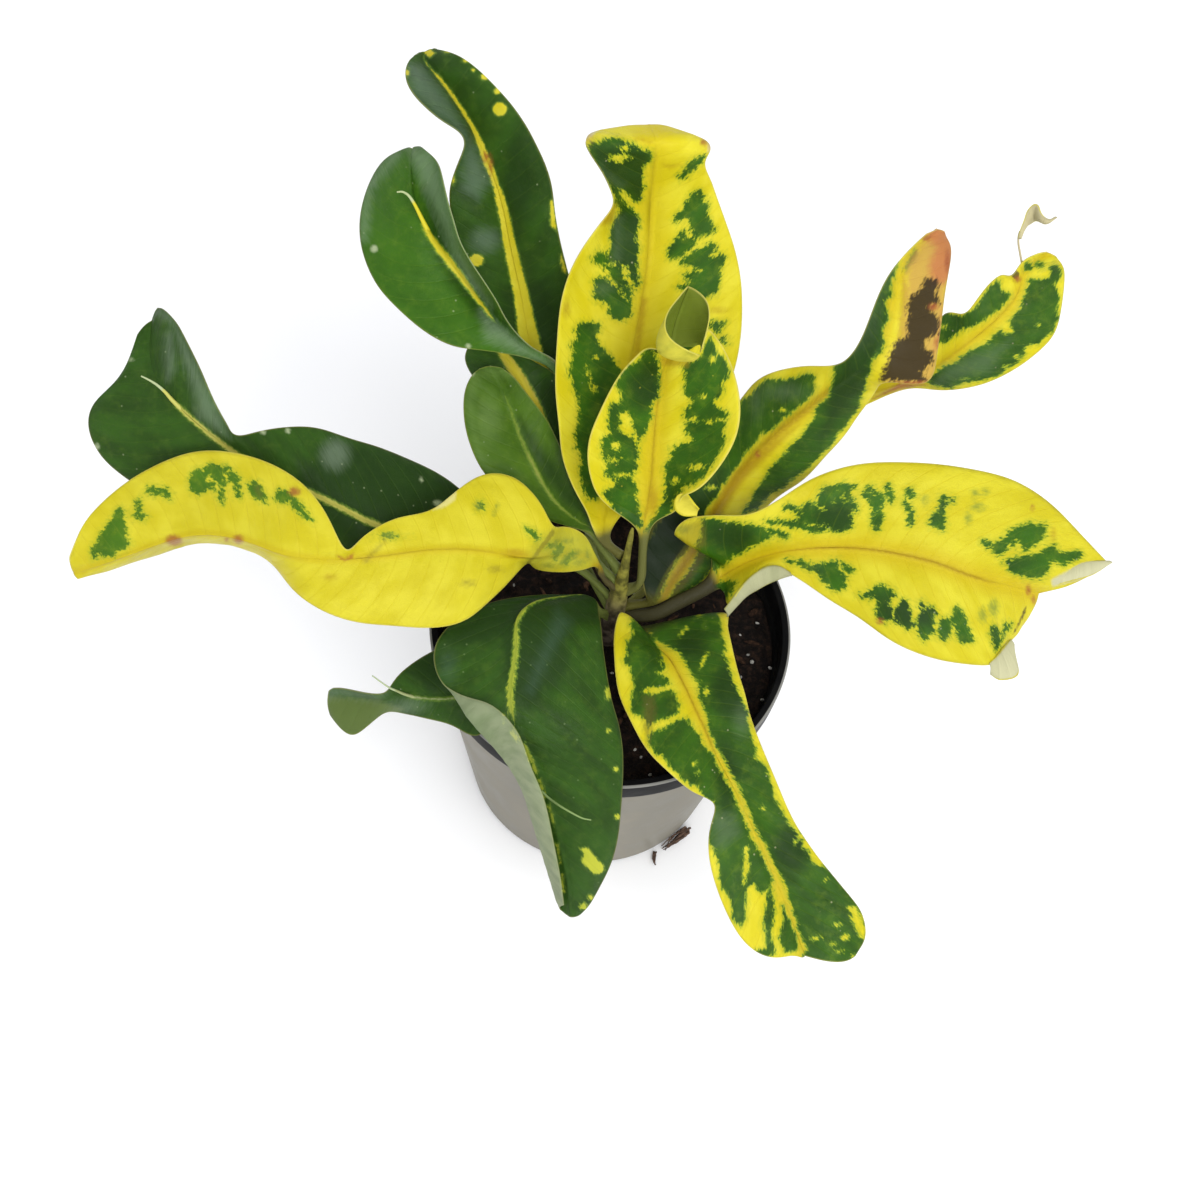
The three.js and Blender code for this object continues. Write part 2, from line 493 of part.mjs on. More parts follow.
// The leaf's middle surface across its width, from the left margin to the right one.
function leafRow(rails, part) {
  const left = rails.left.getPoint(part);
  const rib = rails.rib.getPoint(part);
  const right = rails.right.getPoint(part);
  const bulge = right.clone().sub(left).cross(rails.rib.getTangent(part)).normalize();
  const row = [rib];
  for (let step = 1; step <= HALF_BLADE_STEPS; step += 1) {
    const v = step / HALF_BLADE_STEPS;
    row.unshift(halfBlade(rib, rails.leftFold?.getPoint(part), left, v, bulge));
    row.push(halfBlade(rib, rails.rightFold?.getPoint(part), right, v, bulge));
  }
  return row;
}

// Half of the leaf's thickness; out is 0 at the rib and 1 at a margin, blade is 0 on the stalk and
// 1 on the blade.
function halfThickness(out, blade) {
  const onStalk = Math.max(STALK_EDGE, STALK_RADIUS * Math.sqrt(1 - out * out));
  const onBlade = (out === 0 ? RIB_THICKNESS : BLADE_THICKNESS) / 2;
  return THREE.MathUtils.lerp(onStalk, onBlade, blade);
}

// The closed outline round a row, with the rows before and after it to tell which way is up.
function leafRing(row, before, after, blade) {
  const upper = [];
  const lower = [];
  row.forEach((point, k) => {
    const across = row[Math.min(row.length - 1, k + 1)].clone().sub(row[Math.max(0, k - 1)]);
    const normal = across.cross(after[k].clone().sub(before[k])).normalize();
    const half = halfThickness(Math.abs(k / HALF_BLADE_STEPS - 1), blade);
    upper.push(point.clone().addScaledVector(normal, half));
    lower.unshift(point.clone().addScaledVector(normal, -half));
  });
  return [...upper, ...lower];
}

function leafGeometry(leaf) {
  const stalk = stalkPoints(leaf);
  const rails = leafRails(leaf, stalk);
  const stations = LEAF_STATIONS + stalk.length;
  const rows = [];
  for (let s = 0; s <= stations; s += 1) {
    rows.push(leafRow(rails, s / stations));
  }
  const bladeStart = stalk.length / (stalk.length + leaf.rib.length - 1);
  const rings = rows.map((row, s) => {
    const blade = THREE.MathUtils.smoothstep(
      s / stations, bladeStart - FLATTEN_BEFORE, bladeStart + FLATTEN_AFTER);
    return leafRing(row, rows[Math.max(0, s - 1)], rows[Math.min(stations, s + 1)], blade);
  });
  if (!leaf.horn) {
    return skin(rings);
  }
  const horn = twig(leaf.horn, HORN_RADII);
  return fromManifold(toManifold(skin(rings)).add(toManifold(horn)));
}

// ---- The plant ----
function piece(name, geometry, color, roughness) {
  const material = new THREE.MeshStandardMaterial({ color, roughness, metalness: 0 });
  const mesh = new THREE.Mesh(geometry, material);
  mesh.name = name;
  return mesh;
}

const plant = new THREE.Group();
plant.add(piece("pot", potGeometry(), 0x9a9692, 0.45));
plant.add(piece("soil", soilGeometry(), 0x1d1613, 1));
plant.add(piece("stem", stemGeometry(), 0x6b6242, 0.8));
for (const [name, leaf] of Object.entries(LEAVES)) {
  plant.add(piece(name, leafGeometry(leaf), leaf.color, 0.4));
}
plant.add(piece("root_scrap", twig(ROOT_SCRAP, ROOT_SCRAP_RADII), 0x4a3428, 0.9));
plant.add(piece("root_tip", twig(ROOT_TIP, ROOT_TIP_RADII), 0x9c8878, 0.9));

export default plant;
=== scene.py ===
"""A potted croton: a grey nursery pot with a black rim, its soil, a short woody stem and fourteen long,
twisted leaves in yellow and green, with two dried root ends at the foot of the pot.
Metres, +Z up; the origin is the centre of the pot's base."""

import math

import bpy
import numpy as np
from mathutils import Matrix, Vector


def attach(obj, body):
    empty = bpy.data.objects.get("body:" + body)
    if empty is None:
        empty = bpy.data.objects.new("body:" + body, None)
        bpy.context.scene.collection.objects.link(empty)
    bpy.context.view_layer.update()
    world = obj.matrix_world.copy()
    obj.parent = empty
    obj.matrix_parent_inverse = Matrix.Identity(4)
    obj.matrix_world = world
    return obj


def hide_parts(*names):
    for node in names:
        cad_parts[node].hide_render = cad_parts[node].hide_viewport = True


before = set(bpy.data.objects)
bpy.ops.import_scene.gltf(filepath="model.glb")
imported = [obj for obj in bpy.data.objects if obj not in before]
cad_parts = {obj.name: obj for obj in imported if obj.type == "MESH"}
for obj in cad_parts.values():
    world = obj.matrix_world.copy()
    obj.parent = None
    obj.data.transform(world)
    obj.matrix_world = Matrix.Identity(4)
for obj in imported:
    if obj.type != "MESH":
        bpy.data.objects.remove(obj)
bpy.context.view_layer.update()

MM = 0.001
SEED = 12

# ---- The view that the leaves were measured in ----
# A leaf point is (x, y, height): its place in that view in pixels and its height above the surface
# in mm, which together fix one point in space. The camera looks along the same view.
VIEW_CENTRE = 600  # across and down, in pixels, like the focal length
VIEW_FOCAL = 1500
VIEW_EYE = np.array((-0.0047, -0.2535, 0.5276))
VIEW_ELEVATION = math.radians(58.6)
VIEW_ROLL = math.radians(8.1)

LEVEL_RIGHT = np.array((1.0, 0.0, 0.0))
LEVEL_UP = np.array((0.0, math.sin(VIEW_ELEVATION), math.cos(VIEW_ELEVATION)))
VIEW_FORWARD = np.array((0.0, math.cos(VIEW_ELEVATION), -math.sin(VIEW_ELEVATION)))
VIEW_RIGHT = LEVEL_RIGHT * math.cos(VIEW_ROLL) + LEVEL_UP * math.sin(VIEW_ROLL)
VIEW_UP = LEVEL_UP * math.cos(VIEW_ROLL) - LEVEL_RIGHT * math.sin(VIEW_ROLL)


def at(readings):
    """The points in space, in metres, of (x, y, height) readings."""
    x, y, height = np.array(readings, float).T
    rays = VIEW_FOCAL * VIEW_FORWARD
    rays = rays + (x - VIEW_CENTRE)[:, None] * VIEW_RIGHT + (VIEW_CENTRE - y)[:, None] * VIEW_UP
    reach = (height * MM - VIEW_EYE[2]) / rays[:, 2]
    return VIEW_EYE + rays * reach[:, None]


def seen(points):
    """Where points in space show in the view, in pixels."""
    rays = points - VIEW_EYE
    scale = VIEW_FOCAL / (rays @ VIEW_FORWARD)
    x = VIEW_CENTRE + (rays @ VIEW_RIGHT) * scale
    y = VIEW_CENTRE - (rays @ VIEW_UP) * scale
    return np.stack([x, y], -1)


# ---- The pot, the soil and the stem ----
POT_HEIGHT = 0.100
RIM_RADIUS = 0.060
BASE_RADIUS = 0.046
RIM_BAND_HEIGHT = 0.009
RIM_STEP = 0.0022
RIM_THICKENING = 0.0014
LIP_EDGE = 0.0007  # the rim's rounded outer edge, painted paler as a painted highlight
WALL = 0.0014
FLOOR_THICKNESS = 0.0024
WALL_TOP = POT_HEIGHT - RIM_BAND_HEIGHT
DRAIN_HOLES = 8
DRAIN_HOLE_RADIUS = 0.004
DRAIN_CIRCLE_RADIUS = 0.034
SOIL_TOP = 0.088
SOIL_DEPTH = 0.012
SOIL_CROWN = 0.0015
SOIL_GAP = 0.0002
STEM_BOTTOM = 0.072
STEM_TOP = 0.140
STEM_TIP = 0.004
STEM_RADIUS_BOTTOM = 0.0046
STEM_RADIUS_TOP = 0.0028
STEM_TAPER = 0.68  # how much of its width the young stem loses on its way to the tip
STEM_TAPER_START = SOIL_TOP + 0.015
STEM_LEAN = (0.002, 0.007)

# ---- The leaves ----
# node is the height on the stem where the leaf grows, in mm, and stalk leads from there to the blade.
# Every rail runs from the base of the blade to its tip: the two margins, the midrib and, where a half
# blade is folded, its fold. Left and right are as seen along the leaf from its base, with its upper
# side in view. A horn is the free end of a midrib, which leaves the blade at horn_row, counted in
# points of the rib. tip_bulge is how far the end of the blade is rounded, in half widths.
LEAVES = {
    "leaf_tall_yellow": dict(
        node=131,
        stalk=[(606, 543, 131)],
        left=[(594, 531, 133), (584, 507, 139), (569, 477, 147), (560, 442, 157), (556, 397, 168),
            (556, 340, 183), (562, 296, 194), (577, 256, 205), (597, 225, 213), (616, 205, 219),
            (609, 183, 227), (597, 165, 233), (586, 146, 239), (588, 134, 238), (600, 130, 236)],
        left_fold=[(600, 530, 132), (597, 504, 136), (591, 475, 144), (588, 440, 154), (588, 395, 165),
            (590, 342, 179), (598, 300, 189), (610, 262, 199), (622, 228, 207), (632, 205, 213),
            (629, 184, 222), (625, 166, 229), (618, 150, 236), (618, 137, 238), (622, 129, 236)],
        rib=[(605, 529, 132), (611, 500, 137), (617, 470, 146), (622, 430, 157), (627, 385, 168),
            (635, 340, 180), (643, 300, 190), (648, 260, 200), (650, 230, 207), (651, 205, 214),
            (652, 184, 221), (654, 166, 228), (656, 150, 234), (655, 138, 237), (650, 127, 235)],
        right=[(614, 524, 133), (636, 500, 140), (664, 470, 149), (700, 430, 159), (728, 388, 171),
            (741, 340, 184), (742, 294, 195), (737, 256, 204), (728, 228, 211), (718, 200, 217),
            (711, 180, 223), (704, 163, 229), (711, 150, 232), (707, 141, 233), (695, 136, 233)],
    ),
    "leaf_front_centre": dict(
        node=117,
        stalk=[(640, 584, 121.5), (642, 566, 127), (643, 545, 134)],
        left=[(637, 528, 139), (611, 509, 144), (597, 494, 151), (588, 468, 159), (588, 440, 167),
            (599, 412, 175), (617, 377, 186), (635, 357, 194), (652, 346, 201), (690, 363, 208),
            (700, 356, 213)],
        left_fold=[(640, 527, 139), (628, 508, 144), (620, 492, 149), (617, 468, 157), (618, 440, 165),
            (626, 412, 173), (638, 380, 183), (650, 362, 191), (657, 352, 196), (658, 348, 205),
            (661, 340, 212)],
        rib=[(643, 526, 139), (647, 508, 144), (650, 490, 149), (652, 466, 156), (654, 438, 164),
            (657, 408, 173), (660, 384, 181), (663, 368, 187), (668, 356, 192), (674, 322, 203),
            (685, 294, 210)],
        right_fold=[(648, 524, 140), (660, 508, 145), (670, 492, 150), (680, 468, 158), (694, 438, 168),
            (698, 408, 178), (694, 378, 187), (688, 360, 193), (684, 352, 196), (700, 334, 205),
            (704, 317, 212)],
        right=[(654, 522, 141), (676, 512, 147), (681, 497, 154), (703, 487, 161), (734, 445, 173),
            (741, 403, 184), (731, 362, 193), (715, 335, 199), (706, 330, 203), (701, 354, 208),
            (703, 347, 213)],
    ),
    "leaf_back_left_tall": dict(
        node=114,
        stalk=[(601, 560, 119), (593, 530, 121)],
        left=[(577, 500, 125), (548, 450, 134), (523, 400, 147), (500, 350, 163), (480, 300, 180),
            (462, 250, 195), (450, 210, 205), (450, 186, 211), (458, 164, 216), (465, 144, 221),
            (459, 131, 226), (440, 119, 230), (421, 103, 233), (409, 88, 235), (405, 73, 236),
            (409, 60, 236), (418, 54, 235)],
        rib=[(582, 498, 125), (566, 450, 134), (547, 400, 146), (531, 350, 162), (522, 300, 177),
            (511, 250, 192), (504, 212, 202), (496, 184, 208), (487, 162, 213), (477, 138, 218),
            (470, 124, 221), (460, 108, 225), (448, 90, 228), (438, 77, 231), (430, 69, 232),
            (424, 61, 233), (425, 53, 233)],
        right=[(588, 495, 126), (586, 445, 136), (584, 395, 149), (580, 340, 165), (573, 290, 182),
            (562, 250, 197), (555, 214, 207), (552, 186, 213), (545, 163, 218), (534, 140, 223),
            (525, 124, 227), (512, 105, 231), (496, 87, 234), (480, 71, 236), (463, 58, 237),
            (447, 51, 236), (434, 49, 235)],
    ),
    "leaf_back_left_broad": dict(
        node=120,
        stalk=[(594, 560, 123.6), (588, 520, 128.4), (583, 470, 138.6), (576, 412, 153)],
        left=[(556, 372, 166), (530, 359, 174), (503, 353, 180), (478, 350, 184), (452, 346, 187),
            (425, 332, 189), (398, 309, 191), (376, 284, 193), (362, 250, 196), (359, 218, 200),
            (366, 188, 204), (380, 164, 207), (397, 152, 209), (408, 148, 210)],
        rib=[(557, 367, 168), (532, 354, 176), (514, 341, 181), (497, 325, 186), (481, 305, 190),
            (466, 284, 194), (452, 265, 198), (439, 248, 202), (428, 231, 206), (419, 213, 209),
            (413, 199, 210), (411, 182, 211), (411, 165, 211), (413, 150, 211)],
        right_fold=[(558, 365, 168), (534, 352, 177), (518, 339, 182), (503, 323, 187), (489, 302, 191),
            (475, 281, 195), (461, 259, 200), (450, 241, 203), (439, 222, 206), (432, 203, 209),
            (425, 186, 211), (418, 170, 212), (414, 157, 212), (414, 148, 212)],
        right=[(558, 363, 169), (535, 350, 178), (520, 337, 184), (506, 320, 190), (494, 300, 196),
            (482, 279, 201), (468, 257, 206), (458, 238, 211), (452, 218, 216), (448, 200, 219),
            (444, 182, 220), (437, 163, 219), (427, 151, 216), (420, 147, 213)],
        horn_row=8.6,
        horn=[(428, 231, 205.6), (421, 217, 209), (415, 205, 212), (409, 196, 214), (403, 192, 215.5),
            (397, 192, 216)],
    ),
    "leaf_behind_left": dict(
        node=104,
        stalk=[(588, 570, 112), (574, 532, 119)],
        left=[(562, 505, 128), (535, 470, 138), (508, 430, 147), (487, 395, 154), (473, 378, 158),
            (464, 358, 162), (472, 342, 165)],
        rib=[(566, 498, 130), (552, 450, 145), (541, 420, 152), (530, 398, 157), (519, 378, 161),
            (507, 358, 164), (498, 346, 166)],
        right=[(570, 496, 131), (564, 440, 146), (561, 400, 154), (560, 382, 158), (552, 371, 162),
            (535, 362, 165), (512, 350, 166)],
    ),
    "leaf_mid_left": dict(
        node=124,
        stalk=[(600, 545, 128)],
        left=[(588, 532, 131), (545, 520, 138), (512, 500, 145), (485, 475, 151), (471, 448, 156),
            (464, 420, 160), (464, 393, 163), (472, 375, 166), (480, 369, 167)],
        rib=[(590, 530, 130), (568, 515, 136), (550, 497, 142), (535, 470, 149), (523, 445, 153),
            (514, 420, 157), (507, 400, 161), (500, 382, 164), (490, 367, 167)],
        right=[(592, 527, 130), (586, 505, 135), (576, 478, 141), (562, 450, 149), (550, 425, 156),
            (540, 410, 160), (525, 391, 164), (514, 377, 167), (502, 368, 168)],
    ),
    "leaf_far_left_dark": dict(
        node=110,
        stalk=[(582, 570, 117), (545, 556, 123)],
        left=[(500, 556, 128), (470, 566, 131), (440, 574, 134), (410, 576, 136), (380, 572, 138),
            (350, 562, 140), (315, 553, 141), (275, 548, 141), (235, 540, 141), (195, 522, 142),
            (160, 500, 144), (130, 481, 147), (102, 459, 151), (88, 430, 155), (94, 402, 160),
            (122, 377, 164), (137, 335, 168)],
        rib=[(500, 548, 129), (470, 542, 135), (440, 533, 140), (410, 530, 144), (380, 527, 148),
            (350, 512, 151), (322, 498, 153), (292, 484, 155), (265, 468, 156), (240, 455, 157),
            (220, 441, 159), (197, 423, 162), (176, 404, 164), (163, 391, 165), (154, 372, 166),
            (150, 350, 167), (152, 322, 168)],
        right=[(500, 540, 130), (478, 508, 138), (457, 486, 143), (420, 465, 149), (385, 450, 154),
            (350, 438, 158), (318, 428, 161), (285, 427, 163), (255, 432, 163), (236, 436, 162),
            (226, 424, 166), (213, 396, 170), (200, 368, 173), (186, 340, 174), (176, 322, 173),
            (166, 311, 171), (158, 308, 170)],
        horn_row=11.9,
        horn=[(182, 410, 163), (172, 400, 165.5), (165, 392, 167.5), (157, 385, 169), (149, 380, 170),
            (141, 376, 171)],
    ),
    "leaf_left_yellow": dict(
        node=118,
        stalk=[(602, 578, 123)],
        left=[(597, 566, 128), (583, 570, 131), (560, 573, 132), (535, 569, 133), (528, 562, 138),
            (510, 582, 141), (488, 603, 143), (462, 622, 144), (430, 628, 144), (395, 626, 145),
            (358, 623, 147), (325, 612, 149), (296, 592, 150), (272, 563, 147), (240, 546, 142),
            (208, 543, 138), (180, 546, 135), (150, 556, 132), (122, 568, 131), (97, 573, 131),
            (78, 579, 130)],
        rib=[(597, 563, 129), (580, 555, 135), (560, 552, 139), (540, 556, 143), (520, 556, 147),
            (498, 553, 150), (472, 550, 153), (445, 549, 155), (418, 551, 156), (390, 555, 157),
            (362, 558, 158), (338, 559, 159), (306, 558, 160), (276, 552, 160), (245, 540, 158),
            (210, 534, 155), (180, 537, 151), (150, 547, 146), (122, 557, 141), (96, 566, 136),
            (75, 572, 132)],
        right=[(597, 560, 130), (585, 535, 139), (566, 526, 144), (553, 527, 150), (540, 502, 155),
            (515, 477, 158), (485, 473, 160), (457, 491, 160), (430, 512, 160), (395, 518, 161),
            (364, 535, 161), (346, 553, 163), (330, 519, 168), (307, 487, 171), (275, 465, 170),
            (237, 453, 168), (197, 451, 165), (158, 464, 160), (118, 488, 154), (85, 520, 147),
            (71, 555, 140)],
    ),
    "leaf_low_left_dark": dict(
        node=98,
        stalk=[(580, 614, 103), (540, 636, 107)],
        left=[(500, 700, 106), (480, 738, 105), (452, 725, 105), (425, 718, 104), (405, 714, 102),
            (385, 711, 99), (367, 727, 95), (350, 736, 92), (331, 715, 94)],
        rib=[(500, 668, 109), (478, 690, 110), (450, 699, 110), (425, 698, 109), (402, 696, 108),
            (388, 699, 105), (370, 698, 102), (348, 696, 100), (330, 692, 100)],
        right=[(500, 640, 112), (468, 640, 114), (432, 651, 114), (407, 667, 113), (394, 681, 110),
            (385, 693, 106), (366, 693, 104), (344, 688, 103), (333, 688, 102)],
        horn_row=3.5,
        horn=[(416, 697.5, 108.3), (404, 694, 110), (397, 691, 111.2), (390, 688, 112.3),
            (383, 683.5, 113.6), (372, 675.5, 115)],
    ),
    "leaf_front_left_dark": dict(
        node=105,
        stalk=[(598, 612, 112)],
        left=[(596, 602, 119), (600, 612, 124), (601, 628, 127), (603, 650, 126), (607, 676, 124),
            (612, 700, 121), (619, 722, 118), (623, 748, 114), (623, 780, 107), (621, 812, 99),
            (616, 845, 90), (607, 875, 81), (594, 898, 74), (580, 914, 70)],
        rib=[(586, 598, 120), (558, 598, 129), (530, 604, 134), (516, 622, 136), (516, 650, 134),
            (511, 680, 131), (510, 706, 128), (519, 736, 122), (535, 765, 115), (548, 797, 107),
            (556, 830, 98), (563, 860, 89), (568, 888, 80), (570, 915, 72)],
        right_fold=[(578, 597, 121), (542, 599, 129), (512, 612, 134), (490, 636, 135), (476, 662, 133),
            (476, 690, 131), (470, 718, 129), (494, 747, 123), (508, 765, 117), (522, 790, 109),
            (530, 815, 101), (541, 852, 89), (550, 880, 80), (560, 906, 74)],
        right=[(574, 595, 122), (524, 596, 131), (478, 606, 135), (446, 628, 137), (433, 652, 136),
            (440, 680, 134), (463, 696, 133), (492, 704, 134), (518, 732, 132), (530, 765, 126),
            (543, 797, 117), (552, 835, 106), (560, 872, 94), (564, 905, 82)],
        horn_row=8,
        horn=[(541, 791, 108.5), (550, 799, 108.5), (560, 806, 109.8), (572, 813, 110), (582, 818, 109),
            (591, 820, 108)],
    ),
    "leaf_front_right": dict(
        node=101,
        stalk=[(634, 632, 106)],
        left=[(723, 611, 116), (727, 625, 119), (731, 642, 121), (737, 666, 122), (744, 692, 121),
            (750, 715, 119), (762, 748, 117), (777, 782, 114), (791, 817, 110), (806, 840, 106),
            (825, 866, 103), (847, 893, 99), (862, 913, 96), (866, 938, 92), (856, 956, 89)],
        tip_bulge=0.16,
        rib=[(648, 642, 112), (658, 650, 115), (670, 660, 117), (682, 682, 118), (694, 707, 118),
            (707, 735, 117), (716, 757, 115), (729, 780, 113), (743, 807, 110), (755, 833, 106),
            (766, 858, 103), (776, 882, 99), (787, 908, 96), (795, 930, 93), (803, 951, 91)],
        right=[(621, 609, 116), (614, 632, 120), (614, 655, 121), (618, 692, 121), (631, 722, 120),
            (647, 751, 119), (667, 771, 118), (695, 794, 116), (716, 803, 111), (709, 830, 108),
            (709, 860, 104), (720, 898, 99), (740, 938, 94), (766, 957, 91), (795, 955, 90)],
    ),
    "leaf_right_yellow": dict(
        node=105,
        stalk=[(652, 615, 110), (676, 603, 114.5), (706, 588, 119)],
        left=[(712, 563, 125), (703, 533, 131), (673, 538, 137), (684, 519, 143), (716, 515, 146),
            (748, 515, 149), (778, 500, 153), (812, 478, 157), (856, 464, 160), (905, 462, 161),
            (960, 467, 160), (1008, 478, 157), (1046, 499, 152), (1078, 532, 145), (1107, 562, 137)],
        rib=[(718, 580, 120), (726, 574, 123), (738, 567, 127), (750, 561, 130), (765, 556, 133),
            (785, 551, 136), (808, 548, 139), (838, 547, 141), (870, 549, 143), (905, 555, 144),
            (940, 564, 144), (970, 576, 142), (996, 583, 139), (1018, 588, 136), (1034, 592, 133)],
        right=[(722, 588, 120), (727, 600, 122), (730, 606, 125), (738, 592, 129), (752, 576, 133),
            (770, 565, 134), (796, 577, 133), (825, 597, 131), (858, 617, 130), (892, 642, 129),
            (930, 658, 128), (965, 664, 126), (990, 665, 124), (1000, 655, 123), (1014, 632, 124)],
    ),
    "leaf_upper_right": dict(
        node=109,
        stalk=[(650, 602, 113.5)],
        left=[(644, 592, 119), (641, 560, 124), (649, 528, 131), (676, 490, 141), (714, 440, 153),
            (742, 398, 163), (764, 375, 173), (800, 366, 183), (830, 366, 190), (846, 360, 195),
            (859, 343, 200), (868, 322, 205), (878, 296, 210), (890, 272, 215), (909, 250, 219),
            (927, 234, 222)],
        rib=[(660, 594, 117), (682, 567, 121), (703, 537, 128), (718, 505, 138), (738, 476, 147),
            (760, 450, 157), (784, 427, 166), (808, 408, 174), (832, 388, 183), (852, 374, 191),
            (872, 356, 198), (884, 330, 204), (891, 302, 210), (898, 278, 214), (914, 250, 218),
            (936, 230, 221)],
        right=[(668, 598, 115), (702, 586, 116), (735, 555, 120), (755, 520, 128), (776, 496, 138),
            (800, 482, 147), (823, 460, 156), (846, 434, 166), (862, 410, 175), (876, 392, 184),
            (885, 381, 193), (930, 385, 192), (938, 345, 199), (943, 300, 206), (952, 252, 213),
            (945, 232, 219)],
    ),
    "leaf_far_right": dict(
        node=102,
        stalk=[(690, 548, 109)],
        left=[(727, 489, 121), (760, 443, 130), (803, 409, 139), (842, 389, 146), (865, 383, 151),
            (884, 378, 157), (905, 368, 164), (925, 350, 172), (943, 312, 181), (963, 315, 186),
            (975, 302, 190), (987, 286, 194), (1001, 274, 197), (1012, 276, 198), (1022, 261, 201),
            (1038, 253, 203)],
        rib=[(735, 498, 118), (775, 460, 127), (815, 425, 137), (850, 400, 144), (870, 393, 149),
            (892, 386, 155), (912, 378, 161), (935, 367, 168), (955, 353, 175), (975, 337, 180),
            (993, 322, 185), (1008, 307, 189), (1017, 294, 192), (1021, 280, 195), (1026, 268, 198),
            (1046, 253, 201)],
        right=[(744, 507, 116), (790, 477, 125), (827, 441, 135), (858, 410, 143), (875, 401, 146),
            (892, 393, 151), (915, 387, 156), (948, 390, 161), (980, 386, 167), (1012, 371, 172),
            (1037, 353, 178), (1055, 333, 183), (1062, 305, 188), (1065, 280, 192), (1064, 266, 196),
            (1056, 257, 200)],
        horn=[(1022, 264, 199.5), (1020, 253, 202.5), (1018.5, 244, 205), (1018.5, 237, 207),
            (1020, 231, 208.3)],
    ),
}

LEAF_STATIONS = 230
HALF_BLADE_STEPS = 28
RIB_CROWDING = 1.35  # over 1 sets the mesh's lines closer together near the rib
SMOOTHING = 0.3  # how far a rail is evened out, in steps between its points
CAMBER = 0.05
FLATTEN_BEFORE = 0.02  # shares of the leaf's rows over which its stalk turns into its blade
FLATTEN_AFTER = 0.06
TIP_BULGE = 0.1
TIP_ROWS = 9  # how many rows from the end give the tip its direction

BLADE_HALF = 0.25 * MM  # half thicknesses
MARGIN_HALF = 0.17 * MM
STALK_EDGE = 0.15 * MM
RIB_RISE = (0.95 * MM, 0.18 * MM)  # under the blade, at its base and at its tip
RIB_WIDTH = (1.15 * MM, 0.5 * MM)
RIB_ABOVE = 0.35  # the share of that rise on the blade's upper side
GROOVE = 0.14 * MM  # along both sides of the rib
STALK_START = 0.6  # the share of the stem's radius at which a stalk starts
STALK_SWELLING = 0.35
SWELLING_REACH = 3 * MM

VEIN_SPACING = 5.2  # in mm
VEIN_SLANT = 0.45
VEIN_CURVE = 0.008
VEIN_SINK = 0.10 * MM
SOFT_WAVE = (0.22, 22)  # height and length of a blade's waves, in mm
RUFFLE = (0.16, 9)  # the same for the waves near its edge

HORN_STEPS = 40
HORN_SIDES = 12
FLAP_STEPS = (36, 8)  # along and across
FLAP_BULGE = 0.8 * MM
INNER = 9  # a distance in mm that is far inside the edge


# ---- Lines, tubes and meshes ----
def rail(points, steps):
    """A smooth line through points, sampled at steps even steps of its parameter."""
    before = 2 * points[0] - points[1]
    after = 2 * points[-1] - points[-2]
    padded = np.vstack([before, points, after])
    place = np.linspace(0, len(points) - 1, steps + 1)
    i = np.minimum(place.astype(int), len(points) - 2)
    t = (place - i)[:, None]
    a, b, c, d = padded[i], padded[i + 1], padded[i + 2], padded[i + 3]
    cubic = (3 * b - a - 3 * c + d) * t**3
    return 0.5 * (2 * b + (c - a) * t + (2 * a - 5 * b + 4 * c - d) * t**2 + cubic)


def evened(line, spread):
    """The line smoothed over about spread samples, with its ends held where they are."""
    reach = int(3 * spread) + 1
    offsets = np.arange(-reach, reach + 1)
    weights = np.exp(-0.5 * (offsets / spread) ** 2)
    weights /= weights.sum()
    start = 2 * line[0] - line[reach:0:-1]
    end = 2 * line[-1] - line[-2 : -reach - 2 : -1]
    padded = np.vstack([start, line, end])
    return np.stack([np.convolve(padded[:, k], weights, "valid") for k in range(3)], -1)


def unit(vectors):
    return vectors / np.maximum(np.linalg.norm(vectors, axis=-1, keepdims=True), 1e-12)


def smoothstep(value, low, high):
    part = np.clip((value - low) / (high - low), 0, 1)
    return part * part * (3 - 2 * part)


def along(line):
    """Distance along a line from its first point, at each of its points."""
    steps = np.linalg.norm(np.diff(line, axis=0), axis=-1)
    return np.concatenate([np.zeros((1,) + steps.shape[1:]), np.cumsum(steps, axis=0)])


def wobble(u, v, wavelength, seed):
    """A smooth random wave of about unit height over u and v."""
    chance = np.random.default_rng(seed)
    total = np.zeros(np.broadcast(u, v).shape)
    waves = 7
    for _ in range(waves):
        turn = chance.uniform(0, 2 * math.pi)
        rate = 2 * math.pi / (wavelength * chance.uniform(0.7, 1.6))
        total += np.sin(rate * (u * math.cos(turn) + v * math.sin(turn)) + chance.uniform(0, 6.3))
    return total / math.sqrt(waves / 2)


def band_faces(rings, count):
    """Quads between closed rings of count points each."""
    faces = []
    for row in range(0, (rings - 1) * count, count):
        for k in range(count):
            after = (k + 1) % count
            faces.append((row + k, row + after, row + count + after, row + count + k))
    return faces


def skin_faces(rings, count):
    """The same, closed at both ends by a row of quads that zips the ring shut."""
    faces = band_faces(rings, count)
    last = (rings - 1) * count
    for k in range(count // 2 - 1):
        low = count - 1 - k
        faces.append((k, low, low - 1, k + 1))
        faces.append((last + k, last + k + 1, last + low - 1, last + low))
    return faces


def joined(vertices, faces, more, more_faces):
    """One mesh's vertices and faces with another's after them."""
    moved = [tuple(i + len(vertices) for i in face) for face in more_faces]
    return np.vstack([vertices, more]), faces + moved


